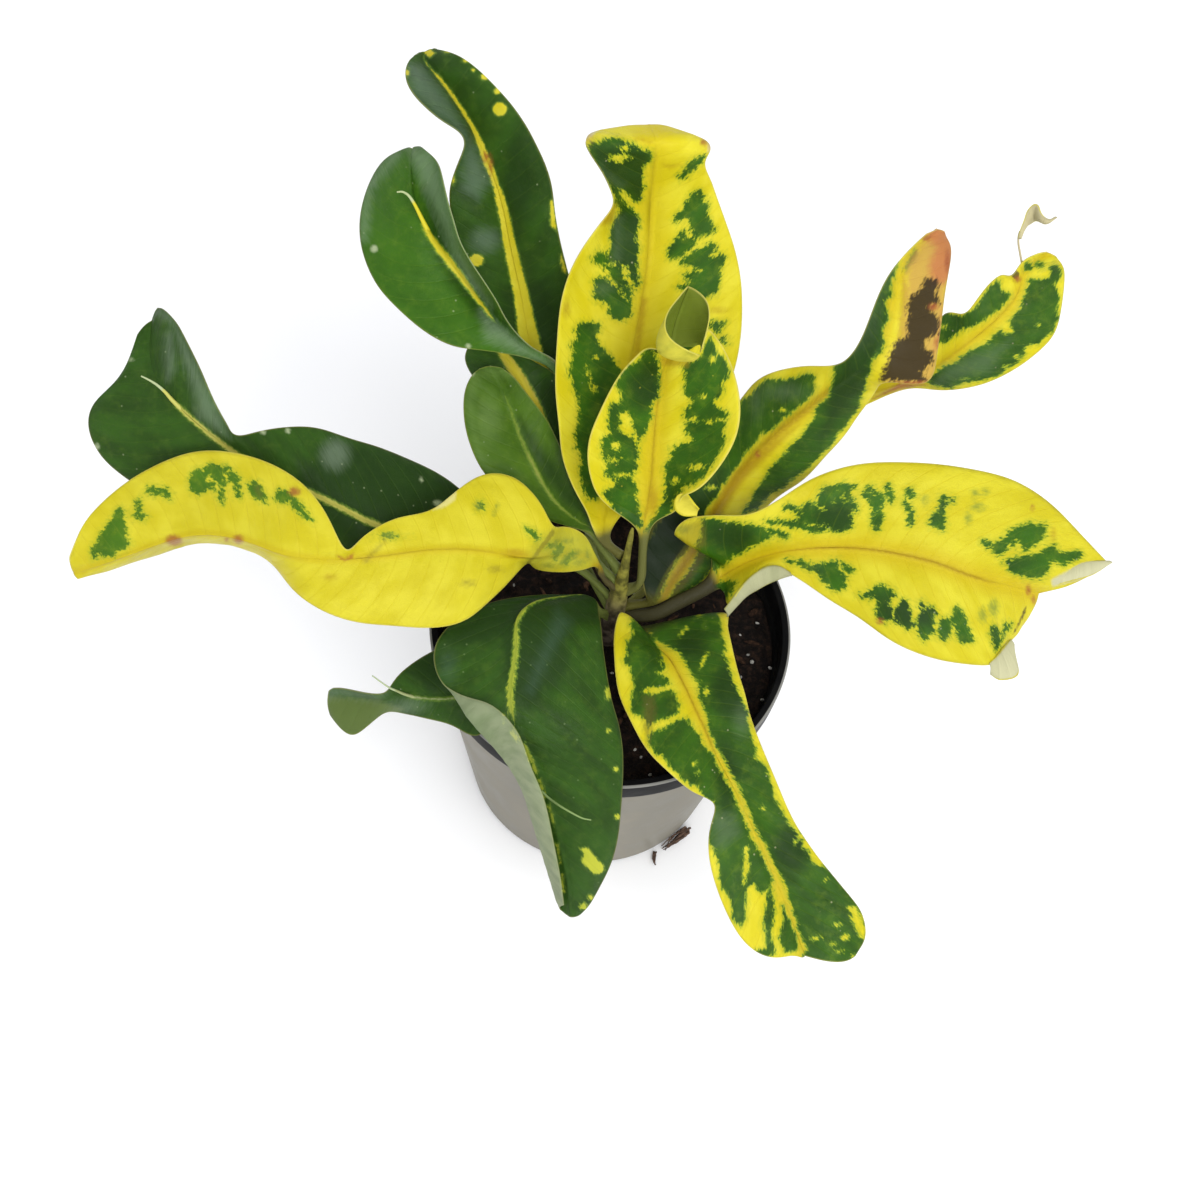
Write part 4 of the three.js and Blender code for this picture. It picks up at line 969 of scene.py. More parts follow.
LOOKS = {
    "leaf_tall_yellow": look(
        gold=9, stalk_tone="6c6a34", core=(1.2, 0.3, 2, 11), rib="dfca12",
        patches=[
            patch("green",
                [(586, 146), (593, 143), (600, 143), (606, 141), (612, 139), (618, 140), (624, 142),
                    (630, 144), (636, 147), (641, 150), (648, 151), (651, 154), (651, 158), (649, 162),
                    (645, 163), (642, 168), (641, 175), (641, 182), (643, 185), (641, 190), (640, 196),
                    (638, 200), (635, 200), (630, 195), (624, 189), (618, 188), (621, 198), (626, 204),
                    (632, 208), (636, 213), (639, 217), (638, 225), (638, 235), (636, 240), (639, 248),
                    (637, 255), (638, 265), (639, 275), (640, 282), (638, 287), (634, 285), (630, 280),
                    (629, 272), (626, 266), (622, 266), (620, 270), (626, 280), (630, 288), (632, 296),
                    (630, 302), (626, 300), (622, 292), (617, 285), (611, 275), (609, 268), (604, 268),
                    (600, 264), (594, 262), (592, 258), (597, 255), (598, 250), (602, 252), (608, 258),
                    (610, 250), (611, 240), (612, 230), (613, 222), (617, 217), (620, 209), (616, 203),
                    (611, 187), (607, 181), (600, 172), (594, 162), (588, 152)],
                [(594, 280), (598, 277), (606, 278), (609, 283), (614, 286), (619, 292), (625, 299),
                    (630, 303), (631, 312), (629, 317), (622, 319), (614, 318), (610, 313), (610, 305),
                    (603, 302), (597, 299), (593, 297), (594, 293), (597, 288)],
                [(580, 324), (585, 322), (592, 323), (599, 325), (600, 330), (596, 333), (596, 340),
                    (599, 345), (605, 351), (612, 358), (617, 365), (625, 380), (620, 420), (600, 460),
                    (598, 500), (588, 498), (582, 485), (580, 470), (582, 460), (578, 450), (575, 448),
                    (577, 440), (575, 435), (577, 428), (580, 420), (579, 410), (578, 396), (574, 390),
                    (573, 380), (569, 372), (571, 360), (575, 350), (570, 347), (571, 343), (577, 342),
                    (578, 335), (575, 330)],
                [(700, 190), (703, 196), (702, 200), (706, 203), (708, 202), (706, 210), (707, 217),
                    (711, 222), (715, 228), (712, 232), (704, 235), (700, 237), (697, 240), (693, 246),
                    (686, 251), (678, 257), (672, 258), (668, 257), (669, 251), (672, 246), (676, 241),
                    (679, 235), (684, 231), (688, 234), (693, 232), (692, 226), (689, 220), (684, 218),
                    (680, 221), (676, 223), (675, 218), (678, 213), (684, 210), (685, 204), (690, 197),
                    (695, 193)],
                [(700, 250), (706, 248), (707, 244), (712, 243), (717, 247), (714, 250), (716, 253),
                    (721, 254), (725, 258), (723, 262), (720, 265), (720, 272), (718, 280), (718, 288),
                    (716, 293), (708, 296), (700, 299), (692, 300), (697, 295), (692, 291), (684, 290),
                    (677, 288), (683, 285), (690, 283), (692, 280), (686, 277), (683, 275), (688, 273),
                    (694, 271), (696, 268), (690, 265), (684, 265), (679, 262), (684, 259), (690, 256),
                    (694, 252)], [(706, 322), (726, 322), (722, 326), (718, 333), (714, 330), (709, 325)],
                (723, 340, 3.5, 3),
                # This last green outline is painted shade in the crease of the curled top corner.
                [(704, 157), (700, 162), (694, 168), (686, 175), (679, 178), (677, 175), (684, 170),
                    (690, 163), (698, 158)]),
            patch("yellow", (624, 148, 4.5, 3), (619, 157, 8.5, 4.5),
                [(584, 364), (588, 367), (591, 373), (592, 381), (598, 386), (600, 391), (595, 392),
                    (590, 387), (587, 378), (584, 372)], (596, 357, 2.5, 2.5), (609, 264, 6, 2.5),
                (714, 255, 4, 2.5), (698, 270, 3, 2), (688, 235, 4.5, 2)),
            # Darker green, partly leaf colour and partly painted shade.
            patch("deep", [(586, 144), (650, 150), (642, 200), (600, 175)],
                [(612, 205), (640, 215), (640, 285), (612, 262)]),
            # Painted sheen: lighter grey-green patches that stand for a highlight.
            patch("grey",
                [(600, 165), (605, 172), (614, 179), (622, 184), (621, 186), (612, 182), (603, 173)],
                [(613, 216), (622, 216), (619, 258), (613, 262)], (603, 288, 8, 7)),
            patch("pale", [(583, 142), (586, 134), (594, 129), (602, 128), (592, 137)],
                [(707, 140), (714, 142), (711, 150), (707, 152)]),
            patch("dry", (710, 144, 4, 6), (588, 138, 3, 4)),
            # The last ochre outline, below the neck of the top, is painted shade from the fold.
            patch("ochre", [(633, 137), (652, 141), (650, 144), (634, 140)],
                [(662, 164), (682, 164), (670, 168)],
                [(641, 296), (648, 298), (642, 340), (636, 380), (631, 380), (637, 330)],
                (718, 310, 9, 3), (566, 308, 4, 9), [(597, 207), (616, 203), (612, 222), (600, 226)]),
            patch("rust", (703, 143, 3, 3)),
        ],
    ),
    "leaf_front_centre": look(
        gold=7, stalk_tone="6e7038", pale="eadb4c", olive="8f9f34", core=(1.1, 0.5, 0, 6),
        edge_light=0.6, edge_width=0.6, under=("f6ea4e", 0.9),
        patches=[
            patch("green",
                [(650, 345), (654, 352), (658, 360), (659, 370), (659, 385), (658, 398), (652, 400),
                    (650, 408), (650, 418), (647, 425), (644, 433), (642, 438), (639, 441), (636, 437),
                    (634, 428), (633, 420), (631, 415), (629, 411), (623, 411), (618, 414), (619, 422),
                    (617, 426), (620, 431), (625, 435), (632, 437), (636, 442), (637, 452), (636, 465),
                    (634, 472), (632, 478), (635, 483), (636, 490), (634, 497), (637, 505), (640, 515),
                    (641, 525), (630, 528), (618, 520), (614, 510), (612, 502), (607, 498), (604, 494),
                    (608, 490), (614, 486), (616, 481), (613, 478), (606, 476), (605, 470), (608, 464),
                    (605, 458), (603, 455), (602, 448), (602, 440), (606, 436), (611, 434), (608, 425),
                    (608, 415), (609, 405), (613, 403), (618, 405), (621, 403), (622, 395), (620, 388),
                    (617, 384), (619, 378), (620, 374), (624, 372), (629, 366), (636, 362), (642, 356),
                    (646, 350)],
                [(706, 340), (710, 338), (714, 345), (716, 352), (722, 357), (726, 362), (729, 370),
                    (727, 378), (722, 382), (722, 390), (719, 396), (713, 400), (712, 405), (718, 408),
                    (722, 412), (727, 413), (726, 420), (724, 428), (723, 436), (725, 440), (722, 448),
                    (718, 454), (714, 462), (711, 467), (706, 472), (702, 478), (695, 483), (686, 486),
                    (682, 488), (678, 495), (673, 500), (672, 508), (668, 515), (664, 520), (658, 525),
                    (655, 540), (650, 545), (648, 530), (652, 520), (658, 512), (662, 505), (665, 497),
                    (667, 485), (667, 475), (665, 468), (668, 461), (671, 460), (671, 450), (676, 447),
                    (681, 444), (688, 442), (694, 441), (690, 435), (686, 430), (687, 422), (685, 415),
                    (686, 410), (690, 406), (694, 401), (690, 398), (686, 392), (685, 385), (686, 378),
                    (684, 370), (684, 364), (688, 362), (695, 360), (702, 355), (703, 348)],
                rows=(-3, 8.3)),
            patch("green", [(650, 280), (716, 280), (716, 366), (650, 366)], rows=(8.1, 99)),
            # Darker green, partly leaf colour and partly painted shade.
            patch("deep", [(645, 360), (660, 360), (660, 400), (640, 410), (630, 380)]),
            patch("yellow", (616, 445, 4.5, 4.5), (612, 460, 9, 3.5), (622, 475, 5, 2),
                (712, 359, 4, 3.5), (694, 419, 4.5, 3), (711, 421, 3.5, 2.5), (722, 419, 4.5, 2.5),
                (697, 467, 7.5, 3.5), (675, 480, 4.5, 4.5), (703, 395, 2.5, 3)),
            patch("olive", [(650, 280), (712, 280), (712, 345), (690, 352), (650, 350)], rows=(8.3, 99)),
            # The first ochre outline is painted shade under the curled tip.
            patch("ochre", [(660, 356), (690, 360), (688, 367), (662, 365)], (653, 500, 5, 16)),
        ],
        flaps=[
            ([(677, 496, 154), (674, 503, 151), (676, 511, 149), (684, 516, 148), (697, 516, 148)],
                [(687, 493, 156), (689, 496, 155.5), (692, 500, 154.5), (695, 504, 153.5),
                    (699, 509, 152.5)]),
        ],
    ),
    "leaf_left_yellow": look(
        gold=2.5, core=(0.7, 0.35, 5, 10), rib="d2bc12", stalk_tone="57502e", pale="e9e08a",
        yellow=("e2d630", "d6c81a"), grey="8f9c40", dark="9a9226", olive="7f8f2c",
        greens=("9aac20", "4f7c0c", "3f6a06"),
        patches=[
            patch("green",
                [(91, 552), (95, 545), (99, 540), (99, 535), (104, 530), (108, 524), (114, 520),
                    (116, 512), (119, 508), (125, 509), (124, 516), (125, 524), (127, 532), (124, 537),
                    (128, 540), (130, 544), (124, 548), (117, 551), (113, 556), (106, 556), (102, 552),
                    (98, 552), (98, 558), (93, 559)],
                [(134, 515), (136, 508), (137, 501), (141, 500), (140, 507), (143, 512), (147, 516),
                    (145, 520), (139, 519)],
                [(146, 493), (148, 488), (153, 487), (160, 488), (167, 489), (171, 495), (171, 500),
                    (167, 499), (163, 495), (157, 496), (151, 495)],
                [(189, 483), (191, 476), (196, 470), (200, 468), (205, 471), (209, 466), (213, 464),
                    (220, 465), (227, 466), (232, 471), (236, 474), (240, 478), (239, 485), (241, 492),
                    (240, 498), (237, 497), (236, 490), (234, 483), (230, 479), (226, 484), (225, 492),
                    (225, 498), (223, 504), (219, 500), (217, 492), (212, 490), (205, 491), (199, 494),
                    (193, 491)],
                [(249, 489), (252, 482), (257, 482), (262, 488), (266, 495), (266, 502), (261, 501),
                    (255, 496)],
                [(275, 498), (279, 490), (285, 491), (292, 496), (297, 500), (304, 508), (309, 516),
                    (314, 521), (308, 520), (301, 515), (294, 508), (290, 503), (281, 502)],
                [(525, 527), (533, 530), (540, 538), (536, 540), (528, 533)], (480, 506, 3, 4),
                (389, 536, 6, 2), [(552, 553), (559, 545), (562, 547), (556, 558)],
                [(562, 562), (571, 551), (574, 553), (566, 564)], (550, 545, 3.5, 2)),
            patch("yellow", (210, 479, 3.5, 3), (217, 487, 3, 4), (227, 476, 3, 3)),
            patch("olive", (388, 536, 6, 3), (478, 506, 4, 4),
                [(497, 503), (499, 505), (494, 516), (492, 515)],
                [(549, 545), (556, 539), (561, 540), (552, 550)],
                [(551, 557), (558, 548), (563, 547), (556, 559)],
                [(559, 563), (566, 553), (571, 553), (564, 565)],
                [(569, 557), (576, 549), (580, 551), (573, 561)], (566, 541, 6, 2.5), (549, 565, 5, 2),
                (579, 562, 5, 2.5), (586, 555, 2.5, 4)),
            # Painted sheen: lighter grey-green patches that stand for a highlight.
            patch("grey", [(536, 540), (560, 524), (590, 532), (604, 562), (580, 574), (520, 566)]),
            patch("brown", [(253, 485), (259, 485), (264, 498), (259, 498)],
                [(363, 561), (384, 540), (386, 542), (366, 563)], (495, 569, 6, 3), (468, 583, 6, 3)),
            patch("rust", (174, 540, 8, 5), (227, 539, 2, 2), (239, 539, 5, 4),
                [(337, 555), (345, 558), (353, 553), (352, 558), (344, 561)], (295, 492, 6, 4.5)),
            patch("pale", [(432, 511), (440, 500), (457, 488), (456, 500), (445, 508)]),
            patch("ochre", (330, 577, 6, 3), (515, 553, 12, 5), (600, 566, 9, 7)),
            # A painted shadow line along the fold to the base lobe.
            patch("dark",
                [(552, 528), (555, 532), (547, 543), (537, 555), (527, 566), (519, 571), (525, 564),
                    (535, 552), (544, 540)]),
        ],
    ),
    "leaf_right_yellow": look(
        gold=7, stalk=2.3, stalk_tone="3e3b22", core=(1.2, 0.75, 0, 11), pale="cfcdaa", brown="7a6a1c",
        # The grey-olive underside colour is partly painted shade, for the inside of the base curl.
        under=("999d72", 0.85), yellow=("e4d92e", "d8ca18"),
        patches=[
            patch("green",
                [(785, 508), (787, 505), (793, 505), (798, 509), (800, 514), (796, 514), (790, 511)],
                [(803, 505), (808, 503), (814, 504), (817, 501), (818, 496), (820, 491), (823, 488),
                    (829, 486), (833, 487), (838, 484), (843, 483), (848, 485), (854, 485), (856, 487),
                    (850, 488), (849, 493), (853, 496), (853, 501), (857, 504), (859, 510), (857, 513),
                    (853, 511), (851, 515), (853, 522), (851, 528), (846, 530), (838, 530), (830, 529),
                    (822, 531), (812, 532), (805, 530), (798, 528), (790, 527), (783, 524), (776, 523),
                    (768, 523), (764, 521), (769, 520), (780, 520), (798, 520), (800, 517), (803, 513),
                    (800, 509)],
                [(765, 528), (775, 529), (783, 532), (788, 535), (785, 537), (778, 535), (768, 532)],
                [(716, 520), (725, 521), (740, 523), (752, 525), (760, 526), (766, 530), (772, 534),
                    (768, 538), (762, 541), (755, 544), (748, 548), (742, 551), (736, 555), (730, 558),
                    (726, 562), (720, 567), (715, 570), (706, 565), (703, 553), (706, 540), (710, 528)],
                [(862, 497), (864, 492), (868, 488), (872, 485), (874, 489), (875, 494), (880, 491),
                    (883, 495), (884, 502), (881, 508), (882, 514), (882, 520), (880, 524), (878, 529),
                    (874, 530), (871, 524), (871, 516), (874, 511), (874, 508), (870, 504), (866, 498)],
                [(885, 485), (888, 484), (891, 489), (894, 495), (893, 500), (890, 503), (888, 497),
                    (886, 490)],
                [(906, 491), (908, 488), (911, 488), (914, 492), (915, 497), (911, 498), (908, 498),
                    (906, 495)],
                [(903, 503), (905, 501), (908, 504), (911, 508), (913, 513), (914, 518), (912, 524),
                    (909, 526), (908, 520), (909, 513), (906, 509)],
                [(940, 499), (943, 495), (946, 497), (950, 497), (955, 498), (953, 502), (948, 503),
                    (944, 506), (944, 512), (943, 520), (944, 526), (942, 531), (940, 528), (936, 526),
                    (931, 527), (930, 522), (931, 517), (935, 513), (938, 510), (940, 505)],
                [(980, 540), (984, 538), (988, 541), (993, 543), (998, 541), (1002, 539), (1006, 537),
                    (1007, 532), (1012, 530), (1018, 526), (1025, 524), (1030, 522), (1036, 524),
                    (1045, 524), (1048, 528), (1046, 532), (1041, 538), (1036, 543), (1032, 547),
                    (1027, 549), (1023, 551), (1022, 546), (1018, 541), (1012, 546), (1006, 549),
                    (1002, 553), (998, 555), (994, 551), (992, 547), (986, 547), (983, 544)],
                [(1002, 562), (1008, 560), (1016, 556), (1025, 554), (1034, 555), (1040, 554),
                    (1044, 549), (1050, 546), (1053, 543), (1056, 545), (1055, 550), (1060, 553),
                    (1068, 553), (1075, 551), (1081, 552), (1081, 557), (1076, 560), (1069, 562),
                    (1062, 565), (1055, 563), (1050, 562), (1048, 568), (1046, 574), (1040, 577),
                    (1031, 578), (1024, 577), (1015, 573), (1009, 570), (1006, 565)],
                [(785, 560), (800, 561), (812, 565), (812, 569), (800, 565)],
                [(805, 567), (815, 565), (822, 564), (830, 562), (836, 560), (840, 562), (838, 567),
                    (842, 573), (846, 577), (847, 582), (845, 587), (840, 589), (833, 589), (828, 585),
                    (822, 580), (820, 575), (815, 571), (808, 570)],
                [(843, 564), (848, 566), (853, 571), (849, 573), (844, 570)],
                [(858, 594), (868, 591), (876, 588), (882, 585), (888, 588), (893, 590), (895, 595),
                    (892, 599), (888, 601), (891, 607), (893, 612), (892, 618), (887, 621), (880, 619),
                    (876, 614), (876, 608), (880, 602), (876, 598), (870, 598), (862, 598)],
                [(897, 608), (900, 602), (905, 600), (909, 602), (908, 607), (911, 613), (912, 620),
                    (914, 625), (910, 629), (904, 627), (899, 624), (894, 622), (893, 616), (895, 611)],
                (921, 604, 3, 3),
                [(922, 611), (926, 608), (932, 608), (935, 612), (934, 620), (933, 626), (931, 633),
                    (927, 637), (924, 641), (921, 637), (918, 630), (917, 622), (919, 616)],
                [(940, 620), (946, 619), (950, 620), (952, 615), (954, 610), (957, 608), (961, 611),
                    (964, 618), (966, 624), (968, 630), (971, 636), (973, 641), (968, 643), (961, 642),
                    (958, 638), (957, 631), (955, 626), (951, 625), (950, 632), (950, 638), (945, 640),
                    (940, 638), (939, 630), (939, 624)],
                [(990, 630), (991, 625), (995, 626), (998, 630), (999, 636), (1000, 642), (998, 648),
                    (996, 650), (993, 643), (991, 637)],
                [(1001, 640), (1002, 632), (1004, 626), (1007, 623), (1010, 624), (1009, 629),
                    (1005, 632), (1003, 638)],
                [(712, 585), (718, 583), (725, 583), (730, 582), (736, 583), (733, 590), (728, 596),
                    (724, 602), (719, 598), (714, 592)],
                [(703, 520), (716, 520), (716, 562), (702, 562), (694, 550), (701, 538)]),
            patch("brown", [(674, 545), (680, 524), (704, 516), (706, 545), (694, 556)]),
            patch("yellow", (843, 498, 4, 3.5), (822, 508, 3.5, 2.5), (834, 500.5, 2, 1.5),
                (816, 525, 5, 2), (876, 512, 3.5, 1.2),
                [(1006, 545), (1012, 540), (1017, 539), (1014, 544), (1008, 548)]),
            # Darker green, partly leaf colour and partly painted shade.
            patch("deep", (835, 518, 20, 14), (730, 535, 24, 14), (905, 612, 30, 16)),
            patch("olive", (683, 529, 8, 3.5), (676, 540, 4, 3), (975, 493, 4, 4), (985, 492, 4, 3),
                (978, 507, 7, 4), (968, 518, 3.5, 6), (982, 615, 4, 7), (993, 608, 5, 8),
                (925, 500, 3, 5)),
            patch("ochre", (1053, 534, 3, 7)),
            patch("dark",
                [(1012, 634), (1018, 622), (1022, 612), (1026, 605), (1025, 612), (1020, 622),
                    (1015, 631)]),
            patch("rust", (1028, 590, 2.5, 5), (1033, 599, 2, 3.5), (880, 621, 4, 3),
                (1032, 508, 2, 2.5)),
            patch("pale", [(1050, 579), (1083, 562), (1112, 560), (1096, 576), (1052, 587)],
                [(990, 668), (1004, 648), (1013, 640), (1020, 674), (990, 680)]),
        ],
        flaps=[
            (
                [(1046, 577, 135), (1060, 571, 136.5), (1075, 564, 138), (1090, 561, 138.5),
                    (1110, 561, 137.5)],
                [(1046, 589, 133), (1060, 584, 135), (1075, 580, 136.5), (1092, 575, 137),
                    (1111, 563, 137)], 0.15),
            ([(989, 663, 125), (997, 655, 125.5), (1003, 647, 126), (1011, 639, 126.5)],
                [(990, 674, 122), (1001, 680, 121), (1018, 674, 121.5), (1013, 648, 125)], 0.15),
            # The base curl takes most of the underside colour, which paints the shade inside the curl.
            (
                [(724, 609, 125.5), (731, 600, 127), (739, 589, 129.5), (750, 577, 133), (765, 567, 135),
                    (779, 566, 135), (791, 573, 134.5)],
                [(727, 617, 122), (737, 606, 123.5), (747, 596, 125.5), (757, 590, 128),
                    (768, 584, 130.5), (780, 579, 132), (792, 575, 133.8)], 0.95),
        ],
    ),
    "leaf_upper_right": look(
        MARGINED, gold=5, dark="13220c", stalk_tone="5c5a24", core=(2.4, 0.75, 0, 8),
        patches=[
            patch("green",
                [(743, 400), (752, 396), (758, 388), (765, 381), (772, 379), (778, 382), (785, 380),
                    (795, 379), (803, 375), (812, 374), (814, 376), (812, 382), (815, 388), (811, 395),
                    (803, 402), (797, 407), (790, 413), (781, 420), (775, 425), (768, 430), (760, 433),
                    (757, 440), (750, 447), (744, 455), (739, 463), (733, 470), (729, 476), (724, 482),
                    (719, 487), (718, 493), (714, 498), (705, 508), (700, 525), (690, 545), (684, 552),
                    (676, 560), (670, 570), (665, 580), (660, 590), (652, 603), (646, 602), (640, 575),
                    (645, 550), (658, 525), (685, 490), (712, 450), (732, 418)],
                [(742, 513), (745, 508), (752, 500), (755, 492), (760, 485), (765, 478), (770, 470),
                    (775, 463), (780, 458), (785, 452), (790, 447), (795, 441), (800, 437), (805, 431),
                    (810, 425), (815, 418), (815, 410), (820, 405), (825, 400), (830, 395), (831, 388),
                    (834, 380), (836, 360), (840, 345), (850, 328), (860, 310), (868, 290), (876, 268),
                    (886, 256), (896, 252), (898, 262), (893, 275), (890, 285), (891, 295), (884, 300),
                    (886, 310), (888, 318), (881, 330), (884, 345), (881, 352), (873, 358), (870, 370),
                    (866, 380), (864, 390), (860, 398), (857, 408), (850, 418), (845, 425), (838, 432),
                    (833, 440), (828, 447), (820, 455), (812, 463), (805, 468), (800, 473), (793, 478),
                    (785, 485), (778, 490), (770, 492), (766, 498), (757, 508)],
                [(700, 545), (708, 550), (716, 552), (712, 566), (700, 582), (684, 592), (668, 602),
                    (672, 590), (685, 577), (695, 562)],
                [(915, 250), (917, 255), (913, 262), (908, 268), (905, 270), (909, 260)]),
            # Darker green, partly leaf colour and partly painted shade.
            patch("deep",
                [(640, 530), (690, 500), (722, 470), (715, 520), (690, 575), (650, 610), (636, 590)],
                [(832, 384), (860, 330), (884, 300), (880, 345), (858, 395), (820, 440)]),
            patch("yellow", (783, 410, 3, 2), (711, 487, 5, 3)),
            # Painted shade over the base of the blade, near the stem.
            patch("dark",
                [(630, 540), (648, 515), (676, 512), (692, 524), (686, 543), (676, 557), (665, 572),
                    (655, 590), (645, 612), (628, 600)], rows=(-2, 5)),
            # Painted sheen: lighter grey-green patches that stand for a highlight.
            patch("grey", (757, 405, 4, 10), (785, 392, 20, 7),
                [(845, 345), (853, 332), (862, 318), (870, 300), (876, 285), (884, 272), (892, 266),
                    (888, 280), (882, 292), (876, 305), (872, 320), (868, 332), (860, 345), (853, 352)]),
            patch("dry",
                [(906, 262), (935, 222), (960, 235), (948, 290), (938, 392), (880, 386), (890, 352),
                    (900, 335), (904, 300)], rows=(9.3, 99)),
            patch("salmon",
                [(922, 214), (962, 214), (960, 282), (930, 286), (928, 264), (934, 248), (926, 238)],
                [(944, 300), (950, 300), (940, 350), (934, 350)], rows=(9.3, 99)),
            # The folded tip's dark brown-olive side, darkened further as painted shade.
            patch("umber",
                [(928, 279), (935, 280), (937, 285), (934, 292), (936, 298), (938, 303), (930, 304),
                    (926, 308), (931, 312), (936, 318), (938, 325), (936, 333), (925, 338), (922, 345),
                    (924, 350), (930, 353), (931, 358), (929, 363), (925, 368), (920, 372), (925, 380),
                    (905, 380), (882, 379), (885, 370), (890, 358), (893, 350), (897, 342), (905, 339),
                    (909, 335), (907, 325), (910, 318), (908, 310), (909, 303), (912, 297), (918, 292),
                    (922, 287), (925, 282)], rows=(9.3, 99)),
            # The last rust outline, along the lower edge of the folded tip, is a painted shadow line; the
            # rest are rust-brown spots.
            patch("rust", (933, 307, 4.5, 3.5), (947, 262, 3, 10), (758, 454, 2, 3), (926, 238, 4, 2),
                (936, 342, 2, 4), [(895, 382), (927, 381), (927, 386), (895, 386)]),
            patch("brown",
                [(640, 620), (672, 556), (704, 520), (722, 512), (716, 540), (690, 580), (660, 620)]),
            # The second ochre outline, along the ridge of the folded tip, is painted shade.
            patch("ochre",
                [(655, 603), (735, 470), (790, 430), (800, 424), (745, 480), (700, 545), (665, 600)],
                [(902, 275), (909, 290), (906, 335), (897, 340)]),
        ],
    ),
    "leaf_far_right": look(
        MARGINED, pale="bdb193", horn_pale=-1, horn_radii=(0.36, 0.3), core=(0.9, 0.35, 3, 12),
        patches=[
            patch("green",
                [(925, 345), (935, 318), (943, 312), (944, 309), (948, 312), (953, 315), (962, 316),
                    (970, 312), (978, 307), (980, 301), (984, 295), (990, 287), (994, 284), (998, 281),
                    (999, 285), (1000, 291), (1004, 293), (1010, 294), (1008, 298), (1004, 303),
                    (1000, 308), (993, 312), (986, 317), (978, 322), (970, 326), (963, 328), (958, 333),
                    (951, 337), (946, 341), (941, 340)],
                [(925, 378), (933, 383), (940, 385), (952, 387), (960, 383), (968, 381), (975, 379),
                    (985, 378), (995, 376), (1003, 372), (1008, 367), (1015, 363), (1020, 359),
                    (1026, 353), (1024, 347), (1030, 344), (1038, 343), (1041, 340), (1046, 335),
                    (1052, 331), (1054, 325), (1057, 318), (1056, 308), (1058, 298), (1056, 290),
                    (1053, 285), (1057, 280), (1060, 272), (1057, 266), (1053, 264), (1049, 267),
                    (1051, 273), (1050, 279), (1040, 280), (1030, 280), (1029, 285), (1026, 293),
                    (1023, 300), (1020, 308), (1014, 316), (1011, 320), (1012, 326), (1014, 332),
                    (1010, 334), (1003, 334), (1000, 331), (994, 335), (990, 341), (983, 346), (976, 348),
                    (970, 351), (966, 354), (961, 357), (958, 362), (952, 364), (946, 366), (938, 371)],
                (1028, 267, 3.5, 3.5), (1039, 265, 4, 2.5)),
            patch("yellow", (944, 327, 4, 3), (1038, 325, 3, 2), (1005, 366, 3, 2), (965, 378, 4, 1.5),
                (1017, 357, 2.5, 2)),
            # Painted sheen: lighter grey-green patches that stand for a highlight.
            patch("grey", [(935, 385), (945, 366), (985, 350), (1010, 340), (990, 372)]),
            patch("dark", (1015, 274, 3.5, 4.5)),
            patch("rust", (1017, 279, 3, 3), [(872, 399), (900, 382), (928, 384), (900, 389)]),
        ],
        flaps=[
            (
                [(1018, 238, 207), (1020, 230, 209), (1024, 220, 211), (1027, 211, 213),
                    (1033, 204.5, 215), (1038, 205, 215.5), (1041, 212, 215), (1045, 217.5, 214.5),
                    (1050, 219.5, 214), (1055, 217, 214)],
                [(1019.5, 239, 206.5), (1023, 231, 208), (1027, 226, 208.5), (1031, 223.5, 209),
                    (1034, 221.5, 209.5), (1037, 221, 210.5), (1041, 222.5, 212), (1045, 224, 213),
                    (1050, 222.5, 213.5), (1055, 218, 213.8)]),
        ],
    ),
    "leaf_front_right": look(
        MARGINED, rib="d6bc1c", stalk=1.7, stalk_tone="3f451f", core=(1.1, 0.7, 0, 5),
        patches=[
            patch("green", [(630, 622), (655, 640), (664, 666), (652, 656), (636, 640)],
                [(640, 622), (662, 606), (700, 596), (716, 604), (722, 640), (712, 670), (700, 684),
                    (694, 678), (688, 664), (676, 650), (660, 643), (650, 634)],
                [(633, 630), (638, 636), (645, 642), (652, 650), (656, 656), (660, 664), (663, 668),
                    (659, 672), (658, 676), (664, 677), (668, 680), (670, 684), (665, 687), (655, 687),
                    (648, 687), (643, 690), (641, 693), (646, 694), (652, 696), (658, 694), (664, 691),
                    (670, 691), (674, 693), (675, 699), (678, 704), (677, 711), (672, 716), (662, 719),
                    (652, 722), (648, 727), (647, 720), (640, 716), (635, 714), (632, 709), (632, 700),
                    (633, 692), (635, 685), (633, 678), (631, 673), (632, 667), (627, 664), (624, 660),
                    (628, 656), (627, 648), (628, 641), (632, 637)],
                [(650, 735), (658, 731), (666, 728), (672, 724), (680, 721), (686, 720), (690, 724),
                    (694, 731), (698, 735), (700, 742), (705, 749), (711, 754), (714, 760), (718, 768),
                    (722, 776), (727, 785), (731, 793), (735, 802), (739, 810), (742, 815), (744, 822),
                    (748, 830), (750, 838), (755, 845), (759, 852), (764, 862), (768, 871), (772, 880),
                    (769, 888), (762, 892), (757, 888), (755, 884), (747, 886), (745, 892), (746, 900),
                    (745, 912), (744, 921), (740, 925), (735, 922), (732, 917), (733, 910), (731, 900),
                    (727, 893), (722, 885), (720, 875), (719, 865), (717, 855), (715, 849), (710, 844),
                    (704, 832), (704, 824), (708, 813), (714, 801), (708, 799), (703, 795), (700, 788),
                    (697, 785), (690, 785), (684, 780), (678, 773), (670, 766), (666, 759), (662, 755),
                    (656, 753), (652, 748), (649, 742)],
                [(767, 893), (771, 890), (772, 897), (772, 905), (773, 915), (771, 922), (770, 932),
                    (771, 940), (774, 950), (770, 954), (765, 954), (767, 945), (766, 935), (764, 925),
                    (765, 915), (767, 905)],
                [(752, 952), (760, 950), (770, 948), (775, 953), (768, 956), (760, 956)],
                [(783, 906), (786, 915), (789, 922), (793, 930), (796, 940), (797, 949), (792, 951),
